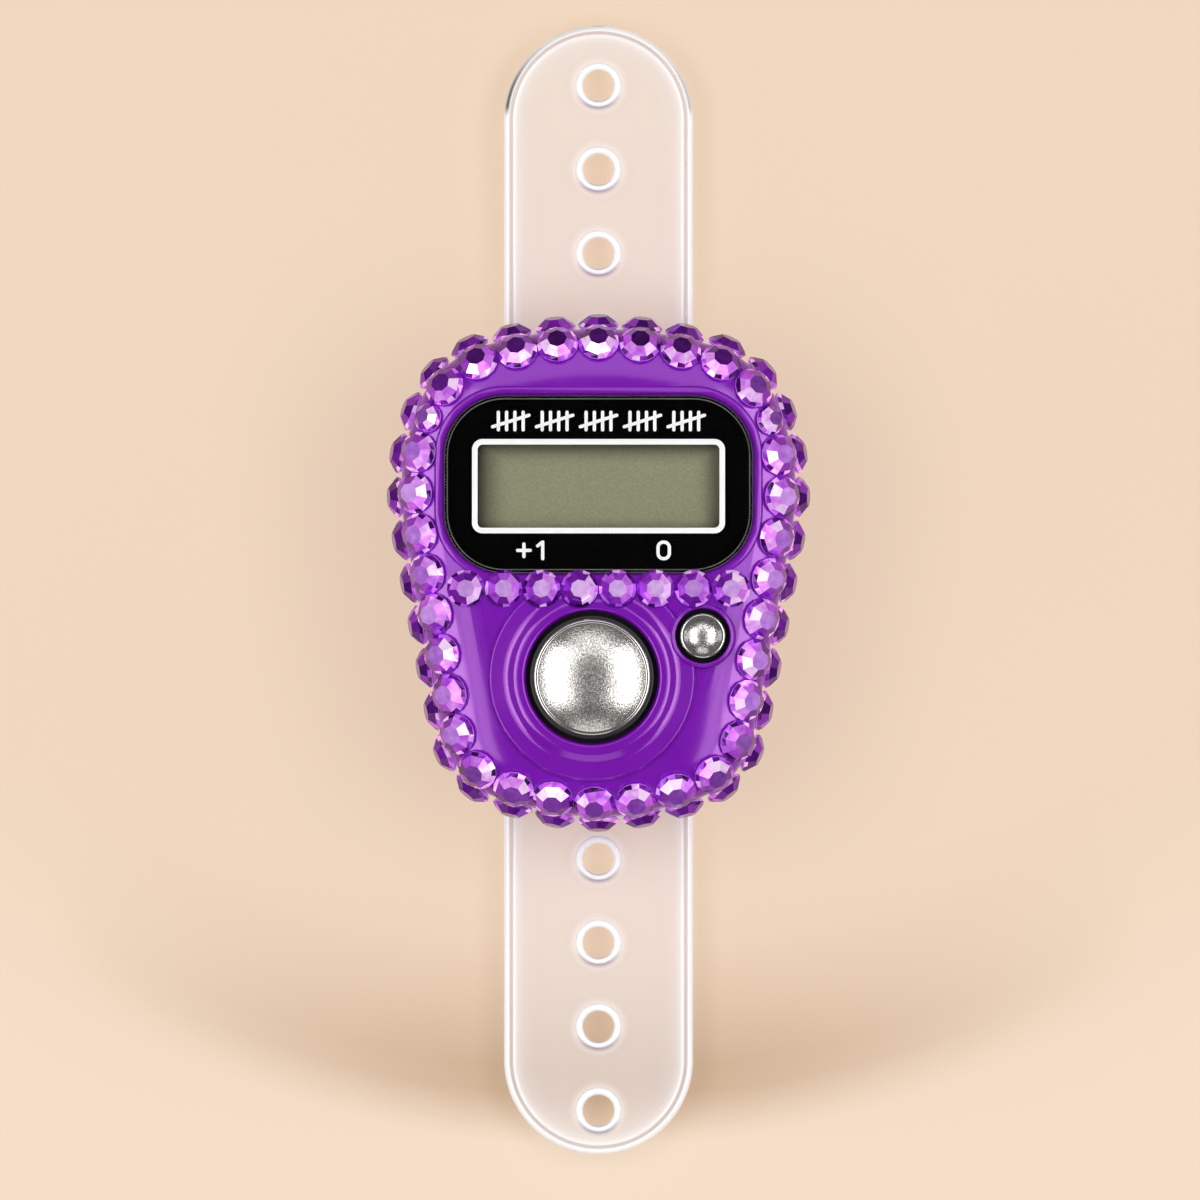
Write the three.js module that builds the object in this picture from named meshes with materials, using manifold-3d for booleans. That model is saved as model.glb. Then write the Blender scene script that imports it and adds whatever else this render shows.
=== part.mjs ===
// A finger tally counter: a jewelled two-part case with a liquid crystal display, a count button and
// a reset button, held on a clear strap with a row of holes in each tail. Sizes are in millimetres.
// The counter lies on its back: +Z points out of the display, +Y to the top of the display and +X to
// its right. The origin is under the middle of the strap, on the surface that the counter lies on.

import * as THREE from 'three';
import { mergeVertices } from 'three/addons/utils/BufferGeometryUtils.js';
import Module from 'manifold-3d';

// Clearances
const GAP = 0.3; // between neighbours that turn, slide or curve
const SCREW_GAP = 0.25; // round a screw's shank
const STONE_GAP = 0.12; // under the stones of the two rings, where the glue lies
const PUSH_THROUGH = 1; // how far a cutter reaches past what it cuts

// Strap
const STRAP_WIDTH = 15.15;
const STRAP_LENGTH = 90.4;
const STRAP_THICKNESS = 1.4;
const STRAP_FIELD_DROP = 0.2;
const STRAP_RIM_WIDTH = 0.45;
const STRAP_HOLE = 2.5;
const EYELET = 3.8;
const HOLE_PITCH = 6.72;
const UPPER_END_TO_HOLE = 4.8;
const LOWER_END_TO_HOLE = 3.52;
const TAIL_HOLES = 4;

// Case, with its outline as the corners of its right half, each rounded with its radius
const CASE_DEPTH = 12;
const TOP_CORNER = { x: 0, y: 22, r: 31.5 };
const UPPER_CORNER = { x: 13.1, y: 18.45, r: 8 };
const FLANK_CORNER = { x: 16.3, y: 9.3, r: 17 };
const LOWER_CORNER = { x: 11.6, y: -15.8, r: 7 };
const BOTTOM_CORNER = { x: 0, y: -18.7, r: 18.4 };
const CASE_CORNERS = [TOP_CORNER, UPPER_CORNER, FLANK_CORNER, LOWER_CORNER, BOTTOM_CORNER];
const CORNER_STEP = 11; // degrees of arc for each straight run of a rounded corner
const SHOULDER = 3.2;
const SHOULDER_STEPS = 4;
const SEAT_STEP = 1; // the shoulder's facet, from the face down, that the stones sit on
const BACK_EDGE = 1.6;
const BACK_EDGE_STEPS = 2;
const PARTING_HEIGHT = 5.2; // from the case's back to the joint between the two covers
const SIDE_WALL = 1.4;
const FACE_WALL = 1.3;
const BACK_WALL = 1.4;

// Keepers and pegs that hold the strap on the rear cover
const KEEPER_THICKNESS = 1;
const KEEPER_WIDTH = 2.4;
const KEEPER_LEG = 1.5;
const UPPER_KEEPER_Y = 16.6;
const LOWER_KEEPER_Y = -13;
const UPPER_PEG_Y = 13.52;
const LOWER_PEG_Y = -8.08;
const PEG_HEAD = 3.2;
const PEG_HEAD_THICKNESS = 0.7;
const PEG_HEAD_EDGE = 0.2; // the height of the head's upright edge
const PEG_TIP = 2.24;

// Stones
const STONE = 3.28;
const SMALL_STONE = 2.4;
const STONE_HEIGHT = 1.1;
const GIRDLE = 0.38;
const TABLE_SHARE = 0.5; // of a stone's diameter
const BACK_SHARE = 0.92; // of a stone's diameter, across its flat back
const STONE_SIDES = 8;
const RING_SIDE_STONES = 16; // on each side, between the top and the bottom stone
const SMALL_STONE_PLACE = 5; // counted from the top stone
const BOTTOM_STONE_SHIFT = 0.35;
const SIDE_RING_STONES = 34;
const SIDE_RING_DROP = 4.6; // from the face to the middle of the stones on the wall
const GLUE_WIDTH = 0.9;
const GLUE_THICKNESS = 0.2;
const GLUE_RISE = 0.25; // from the backs of the stones to the middle of the glue
const DIVIDER_STONE = 3;
const DIVIDER_GAP = 0.03;
const DIVIDER_Y = 0.12;
const DIVIDER_END = 2.4; // the least from the case's outline to the row's last stone

// Display window
const WINDOW = { x: 25, y: 14.5, r: 5 };
const WINDOW_Y = 8.44;
const LENS_GAP = 0.2;
const LENS_THICKNESS = 0.7;
const LENS_RECESS = 0.1;
const MASK_THICKNESS = 0.2;
const MASK_OPENING = { x: 19.3, y: 6.64, r: 0.4 };
const VIEW_Y = 8.28;
const LEDGE_THICKNESS = 1.1;
const LEDGE_MARGIN = 1;
const VIEW_MARGIN = 0.3; // how much wider the ledge's opening is than the mask's

// Liquid crystal display
const GLASS = { x: 20.6, y: 9.6 };
const GLASS_THICKNESS = 0.55;
const FILM_THICKNESS = 0.2;
const FILM_INSET = 0.3;
const CONTACT_LEDGE = 1.5;
const ZEBRA = { x: 18.6, y: 1.1 };
const GLASS_RISE = 0.3; // how far the glass sits above the middle of the view

// Circuit board
const BOARD_RISE = 0.5; // above the parting plane
const BOARD_THICKNESS = 1;
const BOARD_GAP = 0.4;
const CHIP = { x: -5.5, y: -7.6, r: 2.2, height: 1, crown: 1.32, shoulder: 0.85 };
const RESISTOR = { x: 4.4, y: -7.2, length: 2, width: 1.25, height: 0.55 };
const CAPACITOR = { x: 4.4, y: -10.2, length: 2, width: 1.25, height: 0.9 };

// Screws
const UPPER_CASE_SCREW = { x: 11.1, y: 15.4 };
const LOWER_CASE_SCREW = { x: 10.3, y: -9.4 };
const CASE_SCREW = {
  head: 2.4, headHeight: 1.2, headFlat: 1.824, headEdge: 0.72, shank: 1.3, length: 5.5, tip: 0.325,
  cross: 1.3, crossWidth: 0.35, crossDepth: 0.66,
};
const CASE_BOSS = 3.6;
const CASE_SCREW_SINK = 2.5;
const SIDE_BOARD_SCREW = { x: -11.4, y: 1.4 };
const LOWER_BOARD_SCREW = { x: 0, y: -14.6 };
const BOARD_SCREW = {
  head: 2.5, headHeight: 0.8, headFlat: 1.9, headEdge: 0.48, shank: 1, length: 3.6, tip: 0.25,
  cross: 1.2, crossWidth: 0.3, crossDepth: 0.44,
};
const BOARD_BOSS = 2.8;
const PILOT_DEPTH_SPARE = 0.4;

// Buttons
const COUNT = {
  x: -0.52, y: -6.96, hole: 10.56, cap: 9.3, capHeight: 1.25, flange: 11.4, post: 3,
  disc: 16.6, discHeight: 0.5, edgeHeight: 0.45, lip: 12.2, lipHeight: 0.8, lipSlope: 0.2, slope: 0.6,
  travel: 0.8, domeBase: 6.8, domeTop: 4, pill: 2.4,
};
const RESET = {
  x: 8.32, y: -3.65, hole: 4.34, cap: 3.6, capHeight: 0.8, flange: 5.2, post: 1.6,
  disc: 5.3, discHeight: 0.5, edgeHeight: 0.45, lip: 4.9, lipHeight: 0.65, lipSlope: 0.2, slope: 0.15,
  travel: 0.6, domeBase: 4.2, domeTop: 2.4, pill: 1.2,
};
const PLUNGER_SHOW = 0.6; // how far a plunger's top stands above the face
const CAP_RIM = 0.3;
const CAP_EDGE = 0.1; // taken off the foot of a cap
const CROWN_STEPS = 4;
const FLANGE_THICKNESS = 0.8;
const KEYPAD_THICKNESS = 0.5;
const KEYPAD_MARGIN = 0.7;
const KEYPAD_CORNER = 1.2;
const DOME_WALL = 0.4;
const PILL_THICKNESS = 0.35;
const PILL_SPARE = 0.05; // what is left under a pill when its button is pressed home

// Battery
const BATTERY_Y = 2.7;
const CELL = {
  across: 11.6, height: 3.05, skin: 0.3, edge: 0.3, cap: 9.2, capRise: 0.25, gasket: 0.3,
};
const DOOR = 14.4;
const DOOR_COLLAR = 13.8;
const DOOR_COLLAR_WALL = 0.8;
const DOOR_COLLAR_HEIGHT = 1.1;
const DOOR_LUG_REACH = 1.3;
const DOOR_LUG_WIDTH = 3.4;
const DOOR_TURN = 60; // degrees from locked to open
const COIN_SLOT = { x: 9, y: 1.4, depth: 0.7 };
const CONTACT_SHEET = 0.25;
const CONTACT_WIDTH = 2.2;
const CONTACT_FOOT = 2;
const CONTACT_DIMPLE = 1.21; // across the pip that touches the cell

// Heights, each counted up from the surface that the counter lies on
const STRAP_Z = KEEPER_THICKNESS + GAP;
const STRAP_TOP_Z = STRAP_Z + STRAP_THICKNESS;
const BACK_Z = STRAP_TOP_Z + GAP;
const FACE_Z = BACK_Z + CASE_DEPTH;
const PARTING_Z = BACK_Z + PARTING_HEIGHT;
const FLOOR_Z = BACK_Z + BACK_WALL;
const CEILING_Z = FACE_Z - FACE_WALL;
const BOARD_Z = PARTING_Z + BOARD_RISE;
const BOARD_TOP_Z = BOARD_Z + BOARD_THICKNESS;
const LENS_Z = FACE_Z - LENS_RECESS - LENS_THICKNESS;
const MASK_Z = LENS_Z - MASK_THICKNESS;
const LEDGE_Z = MASK_Z - LEDGE_THICKNESS;
const FRONT_GLASS_Z = LEDGE_Z - FILM_THICKNESS - GLASS_THICKNESS;
const REAR_GLASS_Z = FRONT_GLASS_Z - GLASS_THICKNESS;
const KEYPAD_TOP_Z = BOARD_TOP_Z + KEYPAD_THICKNESS;

// Places along the strap
const UPPER_FOLD_Y = UPPER_KEEPER_Y + KEEPER_WIDTH / 2 + GAP;
const LOWER_FOLD_Y = LOWER_KEEPER_Y - KEEPER_WIDTH / 2 - GAP;

const FAR = 2 * STRAP_LENGTH; // past the whole object, for what cuts right across it
const WELD = 1e-4; // nearer than this, two corners are one

const wasm = await Module();
wasm.setup();

const radians = THREE.MathUtils.degToRad;

const PLASTIC = { metalness: 0, roughness: 0.25 };
const materials = {
  purple: new THREE.MeshStandardMaterial({ color: 0x851cb9, ...PLASTIC }),
  black: new THREE.MeshStandardMaterial({ color: 0x101012, metalness: 0, roughness: 0.4 }),
  stone: new THREE.MeshStandardMaterial({ color: 0xaa46d2, metalness: 0.3, roughness: 0.08 }),
  silver: new THREE.MeshStandardMaterial({ color: 0xc8c4bf, metalness: 1, roughness: 0.32 }),
  steel: new THREE.MeshStandardMaterial({ color: 0xb4b6b8, metalness: 1, roughness: 0.3 }),
  clear: new THREE.MeshStandardMaterial({
    color: 0xf0ece8, metalness: 0, roughness: 0.3, transparent: true, opacity: 0.55,
  }),
  lens: new THREE.MeshStandardMaterial({
    color: 0xffffff, metalness: 0, roughness: 0.05, transparent: true, opacity: 0.2,
  }),
  glass: new THREE.MeshStandardMaterial({
    color: 0x9ea888, metalness: 0, roughness: 0.1, transparent: true, opacity: 0.6,
  }),
  reflector: new THREE.MeshStandardMaterial({ color: 0x808368, metalness: 0, roughness: 0.7 }),
  rubber: new THREE.MeshStandardMaterial({ color: 0x9c9c98, metalness: 0, roughness: 0.7 }),
  carbon: new THREE.MeshStandardMaterial({ color: 0x141414, metalness: 0, roughness: 0.9 }),
  board: new THREE.MeshStandardMaterial({ color: 0x1f6b3a, metalness: 0, roughness: 0.5 }),
  ceramic: new THREE.MeshStandardMaterial({ color: 0x8a6a4a, metalness: 0, roughness: 0.6 }),
  brass: new THREE.MeshStandardMaterial({ color: 0xc9a04a, metalness: 1, roughness: 0.35 }),
};

// Solids

function solidOf(geometry) {
  const loose = geometry.index ? geometry.toNonIndexed() : geometry;
  const bare = new THREE.BufferGeometry().setAttribute('position', loose.getAttribute('position'));
  const merged = mergeVertices(bare, WELD);
  return new wasm.Manifold(new wasm.Mesh({
    numProp: 3,
    vertProperties: merged.attributes.position.array,
    triVerts: new Uint32Array(merged.index.array),
  }));
}

function geometryOf(solid) {
  const { vertProperties, triVerts } = solid.getMesh();
  const geometry = new THREE.BufferGeometry();
  geometry.setAttribute('position', new THREE.BufferAttribute(vertProperties, 3));
  geometry.setIndex(new THREE.BufferAttribute(triVerts, 1));
  const flat = geometry.toNonIndexed();
  flat.computeVertexNormals();
  return flat;
}

function join(solids) {
  return solids.reduce((whole, solid) => whole.add(solid));
}

function cut(solid, cutters) {
  return cutters.reduce((rest, cutter) => rest.subtract(cutter), solid);
}

// A straight prism over an outline, from one height to another.
function slab(outline, low, high, curveSegments = 3) {
  const geometry = new THREE.ExtrudeGeometry(outline, {
    depth: high - low, bevelEnabled: false, curveSegments,
  });
  return solidOf(geometry.translate(0, 0, low));
}

// A prism whose upper and lower edges are rounded.
function pillow(outline, low, high, radius, steps) {
  const geometry = new THREE.ExtrudeGeometry(outline, {
    depth: high - low - 2 * radius,
    bevelThickness: radius,
    bevelSize: radius,
    bevelOffset: -radius,
    bevelSegments: steps,
  });
  return solidOf(geometry.translate(0, 0, low + radius));
}

// A body turned about an upright axis, from its half section as [radius, height] pairs that run
// from the bottom of the axis out and up to its top, or round a closed ring in the same sense.
function turned(section, x = 0, y = 0, sides = 24) {
  const points = section.map(([radius, height]) => new THREE.Vector2(radius, height));
  const geometry = new THREE.LatheGeometry(points, sides);
  return solidOf(geometry.rotateX(Math.PI / 2).translate(x, y, 0));
}

function disc(diameter, low, high, x = 0, y = 0, sides = 24) {
  return turned([[0, low], [diameter / 2, low], [diameter / 2, high], [0, high]], x, y, sides);
}

function tube(outer, inner, low, high, x = 0, y = 0, sides = 24) {
  return turned([
    [inner / 2, low], [outer / 2, low], [outer / 2, high], [inner / 2, high], [inner / 2, low],
  ], x, y, sides);
}

function block(x0, x1, y0, y1, z0, z1) {
  const geometry = new THREE.BoxGeometry(x1 - x0, y1 - y0, z1 - z0);
  return solidOf(geometry.translate((x0 + x1) / 2, (y0 + y1) / 2, (z0 + z1) / 2));
}

function rounded({ x, y, r }, centreX = 0, centreY = 0, grow = 0) {
  const right = x / 2 + grow;
  const top = y / 2 + grow;
  const radius = r + grow;
  const outline = new THREE.Shape();
  outline.absarc(centreX + right - radius, centreY + top - radius, radius, 0, Math.PI / 2);
  outline.absarc(centreX - right + radius, centreY + top - radius, radius, Math.PI / 2, Math.PI);
  outline.absarc(centreX - right + radius, centreY - top + radius, radius, Math.PI, 1.5 * Math.PI);
  outline.absarc(centreX + right - radius, centreY - top + radius, radius, 1.5 * Math.PI, 2 * Math.PI);
  return outline;
}

function node(name, solid, material) {
  const mesh = new THREE.Mesh(geometryOf(solid), material);
  mesh.name = name;
  return mesh;
}

function groupAt(x, y, nodes) {
  const group = new THREE.Group();
  group.position.set(x, y, 0);
  group.add(...nodes);
  return group;
}

// Case outline

// The corners of the right half with their directions and turns. Where the roundings of two
// neighbours would meet, both are drawn in until they share the side between them.
function caseCorners() {
  const across = (corner) => new THREE.Vector2(-corner.x, corner.y);
  const places = CASE_CORNERS.map(({ x, y }) => new THREE.Vector2(x, y));
  const before = [across(places[1]), ...places.slice(0, -1)];
  const after = [...places.slice(1), across(places.at(-2))];
  const corners = places.map((place, i) => {
    const into = place.clone().sub(before[i]).normalize();
    const out = after[i].clone().sub(place).normalize();
    const turn = Math.acos(into.dot(out));
    return { place, into, out, turn, taken: CASE_CORNERS[i].r * Math.tan(turn / 2) };
  });
  const room = corners.slice(1).map((corner, i) =>
    corner.place.distanceTo(corners[i].place) / (corner.taken + corners[i].taken));
  return corners.map((corner, i) => {
    const share = Math.min(1, room[Math.max(i - 1, 0)], room[Math.min(i, room.length - 1)]);
    return { ...corner, radius: CASE_CORNERS[i].r * share };
  });
}

// The right half of the case's outline from its top to its bottom, drawn in by an inset.
function halfOutline(inset) {
  const points = [];
  caseCorners().forEach(({ place, into, out, turn, radius }) => {
    const inward = out.clone().sub(into).normalize();
    const centre = place.clone().addScaledVector(inward, radius / Math.cos(turn / 2));
    const first = Math.atan2(into.x, -into.y);
    const steps = 2 * Math.ceil(THREE.MathUtils.radToDeg(turn) / CORNER_STEP / 2);
    for (let step = 0; step <= steps; step++) {
      const angle = first - (turn * step) / steps;
      const x = centre.x + (radius - inset) * Math.cos(angle);
      const y = centre.y + (radius - inset) * Math.sin(angle);
      if (x > -1e-9) points.push(new THREE.Vector2(Math.abs(x) < 1e-9 ? 0 : x, y));
    }
  });
  return points;
}

function caseOutline(inset) {
  const right = halfOutline(inset);
  const left = right.slice(1, -1).reverse().map(({ x, y }) => new THREE.Vector2(-x, y));
  return new THREE.Shape([...right, ...left].reverse());
}

// Finds where a walk down the right half of an outline comes to after a distance, and which way
// the wall faces there.
function walk(points, distance) {
  let left = distance;
  for (let i = 1; i < points.length; i++) {
    const run = points[i].clone().sub(points[i - 1]);
    const length = run.length();
    if (left <= length || i === points.length - 1) {
      const place = points[i - 1].clone().addScaledVector(run, left / length);
      return { x: place.x, y: place.y, facing: Math.atan2(run.x, -run.y) };
    }
    left -= length;
  }
}

function lengthOf(points) {
  let length = 0;
  for (let i = 1; i < points.length; i++) length += points[i].distanceTo(points[i - 1]);
  return length;
}

// Stones

// One faceted stone, with its flat back at height 0, its table up and a flat side along the row.
function stoneGeometry(diameter) {
  const points = [
    [0, 0],
    [(diameter * BACK_SHARE) / 2, 0],
    [diameter / 2, GIRDLE],
    [(diameter * TABLE_SHARE) / 2, STONE_HEIGHT],
    [0, STONE_HEIGHT],
  ].map(([radius, height]) => new THREE.Vector2(radius, height));
  return new THREE.LatheGeometry(points, STONE_SIDES, Math.PI / STONE_SIDES).rotateX(Math.PI / 2);
}

// A frame whose z axis points the way the stone faces: tilt is its angle from straight up.
function stoneFrame({ x, y, z, facing, tilt }) {
  const up = new THREE.Vector3(
    Math.sin(tilt) * Math.cos(facing), Math.sin(tilt) * Math.sin(facing), Math.cos(tilt));
  const along = new THREE.Vector3(-Math.sin(facing), Math.cos(facing), 0);
  const across = new THREE.Vector3().crossVectors(along, up);
  return new THREE.Matrix4().makeBasis(across, along, up).setPosition(x, y, z);
}

// A ring of stones on one bed of glue, which is laid a little above the backs of the stones.
function stoneRing(places) {
  const frames = places.map(stoneFrame);
  const stones = places.map((place, i) =>
    solidOf(stoneGeometry(place.diameter).applyMatrix4(frames[i])));
  const glue = frames.map((frame, i) => {
    const next = frames[(i + 1) % frames.length];
    const here = new THREE.Vector3(0, 0, GLUE_RISE).applyMatrix4(frame);
    const there = new THREE.Vector3(0, 0, GLUE_RISE).applyMatrix4(next);
    const along = there.clone().sub(here);
    const length = along.length();
    along.normalize();
    const up = new THREE.Vector3().setFromMatrixColumn(frame, 2)
      .add(new THREE.Vector3().setFromMatrixColumn(next, 2));
    const across = new THREE.Vector3().crossVectors(along, up).normalize();
    const level = new THREE.Vector3().crossVectors(across, along);
    const middle = here.add(there).multiplyScalar(0.5);
    const bed = new THREE.BoxGeometry(GLUE_WIDTH, length, GLUE_THICKNESS);
    return solidOf(bed.applyMatrix4(
      new THREE.Matrix4().makeBasis(across, along, level).setPosition(middle)));
  });
  return join([...stones, ...glue]);
}

function mirrored(place) {
  return { ...place, x: -place.x, facing: Math.PI - place.facing };
}

// The ring on the shoulder, with one small stone on each side, from the top stone round.
function frontRing() {
  const facet = (Math.PI / 2 / SHOULDER_STEPS) * (SEAT_STEP + 0.5);
  const reach = SHOULDER * Math.cos(Math.PI / 4 / SHOULDER_STEPS);
  const seatInset = SHOULDER - reach * Math.sin(facet);
  const seatZ = FACE_Z - SHOULDER + reach * Math.cos(facet);
  const lift = STONE_GAP;
  const line = halfOutline(seatInset - lift * Math.sin(facet));
  const diameterAt = (k) => (k === SMALL_STONE_PLACE ? SMALL_STONE : STONE);
  const steps = [];
  for (let k = 1; k <= RING_SIDE_STONES + 1; k++) steps.push((diameterAt(k - 1) + diameterAt(k)) / 2);
  const packed = steps.reduce((sum, step) => sum + step, 0);
  const side = (half) => {
    const spread = (lengthOf(line) + half * BOTTOM_STONE_SHIFT) / packed;
    let distance = 0;
    return steps.map((step, k) => {
      distance += step * spread;
      return { ...walk(line, Math.min(distance, lengthOf(line))), diameter: diameterAt(k + 1) };
    });
  };
  const right = side(1);
  const left = side(-1).slice(0, RING_SIDE_STONES).map(mirrored);
  const bottom = { x: -BOTTOM_STONE_SHIFT, y: line.at(-1).y, facing: -Math.PI / 2, diameter: STONE };
  const top = { x: 0, y: line[0].y, facing: Math.PI / 2, diameter: STONE };
  const places = [top, ...right.slice(0, RING_SIDE_STONES), bottom, ...left.reverse()];
  const z = seatZ + lift * Math.cos(facet);
  return places.map((place) => ({ ...place, z, tilt: facet }));
}

// The ring on the wall, from the top stone round.
function sideRing() {
  const line = halfOutline(-STONE_GAP);
  const half = lengthOf(line);
  const pitch = (2 * half) / SIDE_RING_STONES;
  const places = [];
  for (let k = 0; k < SIDE_RING_STONES; k++) {
    const distance = k * pitch;
    const place = distance > half ? mirrored(walk(line, 2 * half - distance)) : walk(line, distance);
    if (Math.abs(place.x) < WELD) place.facing = (Math.sign(place.y) * Math.PI) / 2;
    places.push({ ...place, z: FACE_Z - SIDE_RING_DROP, tilt: Math.PI / 2, diameter: STONE });
  }
  return places;
}

// Half the width of the case at one place up its face.
function halfWidthAt(y) {
  const points = halfOutline(0);
  const next = points.findIndex((point) => point.y < y);
  const [above, below] = [points[next - 1], points[next]];
  return THREE.MathUtils.mapLinear(y, above.y, below.y, above.x, below.x);
}

// The row between the window and the buttons, with as many stones as the ring leaves room for.
function dividerPlaces() {
  const pitch = DIVIDER_STONE + DIVIDER_GAP;
  const row = 2 * (halfWidthAt(DIVIDER_Y) - DIVIDER_END);
  const stones = Math.floor((row + DIVIDER_GAP) / pitch);
  const places = [];
  for (let k = 0; k < stones; k++) places.push({ x: (k - (stones - 1) / 2) * pitch, y: DIVIDER_Y });
  return places;
}

// Covers

const bothSides = ({ x, y }) => [{ x, y }, { x: -x, y }];
const caseScrews = [...bothSides(UPPER_CASE_SCREW), ...bothSides(LOWER_CASE_SCREW)];
const boardScrews = [...bothSides(SIDE_BOARD_SCREW), LOWER_BOARD_SCREW];
const caseScrewSeatZ = BACK_Z + CASE_SCREW_SINK;
const caseScrewTipZ = caseScrewSeatZ + CASE_SCREW.length;
const boardScrewTipZ = BOARD_Z + BOARD_SCREW.length;

// The raised disc round a button, with a lip at its hole.
function buttonSurround(size) {
  const { x, y, disc: across, discHeight, edgeHeight, slope, lip, lipHeight, lipSlope } = size;
  const root = FACE_Z - FACE_WALL / 2;
  return turned([
    [0, root],
    [across / 2, root],
    [across / 2, FACE_Z],
    [across / 2 - slope, FACE_Z + edgeHeight],
    [lip / 2, FACE_Z + discHeight],
    [lip / 2 - lipSlope, FACE_Z + lipHeight],
    [0, FACE_Z + lipHeight],
  ], x, y, 28);
}

function frontCover() {
  const low = PARTING_Z - SHOULDER - PUSH_THROUGH;
  const above = block(-FAR, FAR, -FAR, FAR, PARTING_Z, FAR);
  const outer = pillow(caseOutline(0), low, FACE_Z, SHOULDER, SHOULDER_STEPS).intersect(above);
  const cavity = pillow(
    caseOutline(SIDE_WALL), low, CEILING_Z, SHOULDER - FACE_WALL, SHOULDER_STEPS - 1);
  const ledge = slab(rounded(WINDOW, 0, WINDOW_Y, LEDGE_MARGIN), LEDGE_Z, FACE_Z - FACE_WALL / 2);
  const bosses = [
    ...caseScrews.map(({ x, y }) => disc(CASE_BOSS, PARTING_Z, FACE_Z - FACE_WALL / 2, x, y, 10)),
    ...boardScrews.map(({ x, y }) =>
      disc(BOARD_BOSS, BOARD_TOP_Z, FACE_Z - FACE_WALL / 2, x, y, 10)),
  ];
  const inside = join([ledge, ...bosses]).intersect(outer);
  const dividerCut = [
    block(-FAR, FAR, DIVIDER_Y, FAR, FACE_Z, FAR),
    ...dividerPlaces().map(({ x, y }) => disc(DIVIDER_STONE + GAP, FACE_Z, FAR, x, y, 12)),
  ];
  const surrounds = cut(join([buttonSurround(COUNT), buttonSurround(RESET)]), dividerCut);
  const pocket = slab(rounded(WINDOW, 0, WINDOW_Y), MASK_Z, FACE_Z + PUSH_THROUGH);
  const view = slab(
    rounded(MASK_OPENING, 0, VIEW_Y, VIEW_MARGIN), LEDGE_Z - PUSH_THROUGH, FACE_Z + PUSH_THROUGH);
  const holes = [
    ...[COUNT, RESET].map(({ x, y, hole }) =>
      disc(hole, LEDGE_Z - PUSH_THROUGH, FACE_Z + 2 * PUSH_THROUGH, x, y, 28)),
    ...caseScrews.map(({ x, y }) => disc(
      CASE_SCREW.shank + 2 * SCREW_GAP, PARTING_Z - PUSH_THROUGH,
      caseScrewTipZ + PILOT_DEPTH_SPARE, x, y, 8)),
    ...boardScrews.map(({ x, y }) => disc(
      BOARD_SCREW.shank + 2 * SCREW_GAP, BOARD_Z, boardScrewTipZ + PILOT_DEPTH_SPARE, x, y, 8)),
  ];
  return cut(join([outer.subtract(cavity), inside, surrounds]), [pocket, view, ...holes]);
}

function keeper(y) {
  const inner = STRAP_WIDTH / 2 + GAP;
  const outer = inner + KEEPER_LEG;
  const low = y - KEEPER_WIDTH / 2;
  const high = y + KEEPER_WIDTH / 2;
  return cut(
    block(-outer, outer, low, high, 0, FLOOR_Z - BACK_WALL / 2),
    [block(-inner, inner, low - PUSH_THROUGH, high + PUSH_THROUGH, KEEPER_THICKNESS, BACK_Z)]);
}

function peg(y) {
  const stem = STRAP_HOLE / 2 - GAP;
  const headTop = STRAP_Z - GAP;
  return turned([
    [0, headTop - PEG_HEAD_THICKNESS],
    [PEG_TIP / 2, headTop - PEG_HEAD_THICKNESS],
    [PEG_HEAD / 2, headTop - PEG_HEAD_EDGE],
    [PEG_HEAD / 2, headTop],
    [stem, headTop],
    [stem, FLOOR_Z - BACK_WALL / 2],
    [0, FLOOR_Z - BACK_WALL / 2],
  ], 0, y, 16);
}

// The lugs of the battery door, or with a clearance the notches that they pass through.
function doorLugs(low, high, clearance, turn) {
  const reach = DOOR / 2 + DOOR_LUG_REACH + clearance;
  const half = DOOR_LUG_WIDTH / 2 + clearance;
  const bar = new THREE.BoxGeometry(2 * reach, 2 * half, high - low);
  bar.rotateZ(radians(turn)).translate(0, 0, (low + high) / 2);
  return solidOf(bar).intersect(disc(2 * reach, low - PUSH_THROUGH, high + PUSH_THROUGH));
}

function rearCover() {
  const high = PARTING_Z + BACK_EDGE + PUSH_THROUGH;
  const below = block(-FAR, FAR, -FAR, FAR, -FAR, PARTING_Z);
  const outer = pillow(caseOutline(0), BACK_Z, high, BACK_EDGE, BACK_EDGE_STEPS).intersect(below);
  const cavity = slab(caseOutline(SIDE_WALL), FLOOR_Z, PARTING_Z + PUSH_THROUGH);
  const bosses = caseScrews.map(({ x, y }) =>
    disc(CASE_BOSS, FLOOR_Z - BACK_WALL / 2, PARTING_Z, x, y, 10));
  const fittings = [
    keeper(UPPER_KEEPER_Y), keeper(LOWER_KEEPER_Y), peg(UPPER_PEG_Y), peg(LOWER_PEG_Y),
  ];
  const doorHole = join([
    disc(DOOR + 2 * GAP, BACK_Z - PUSH_THROUGH, FLOOR_Z + PUSH_THROUGH),
    doorLugs(BACK_Z - PUSH_THROUGH, FLOOR_Z + PUSH_THROUGH, GAP, -DOOR_TURN),
  ]).translate([0, BATTERY_Y, 0]);
  const screwHoles = caseScrews.flatMap(({ x, y }) => [
    disc(CASE_SCREW.head + 2 * GAP, BACK_Z - PUSH_THROUGH, caseScrewSeatZ, x, y, 14),
    disc(CASE_SCREW.shank + 2 * SCREW_GAP, BACK_Z, PARTING_Z + PUSH_THROUGH, x, y, 12),
  ]);
  const shell = outer.subtract(cavity);
  return cut(join([shell, join(bosses).intersect(outer), ...fittings]), [doorHole, ...screwHoles]);
}

// Strap

function strapOutline(inset) {
  const radius = STRAP_WIDTH / 2 - inset;
  const centre = STRAP_LENGTH / 2 - STRAP_WIDTH / 2;
  const outline = new THREE.Shape();
  outline.absarc(0, centre, radius, 0, Math.PI);
  outline.absarc(0, -centre, radius, Math.PI, 2 * Math.PI);
  return outline;
}

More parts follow.
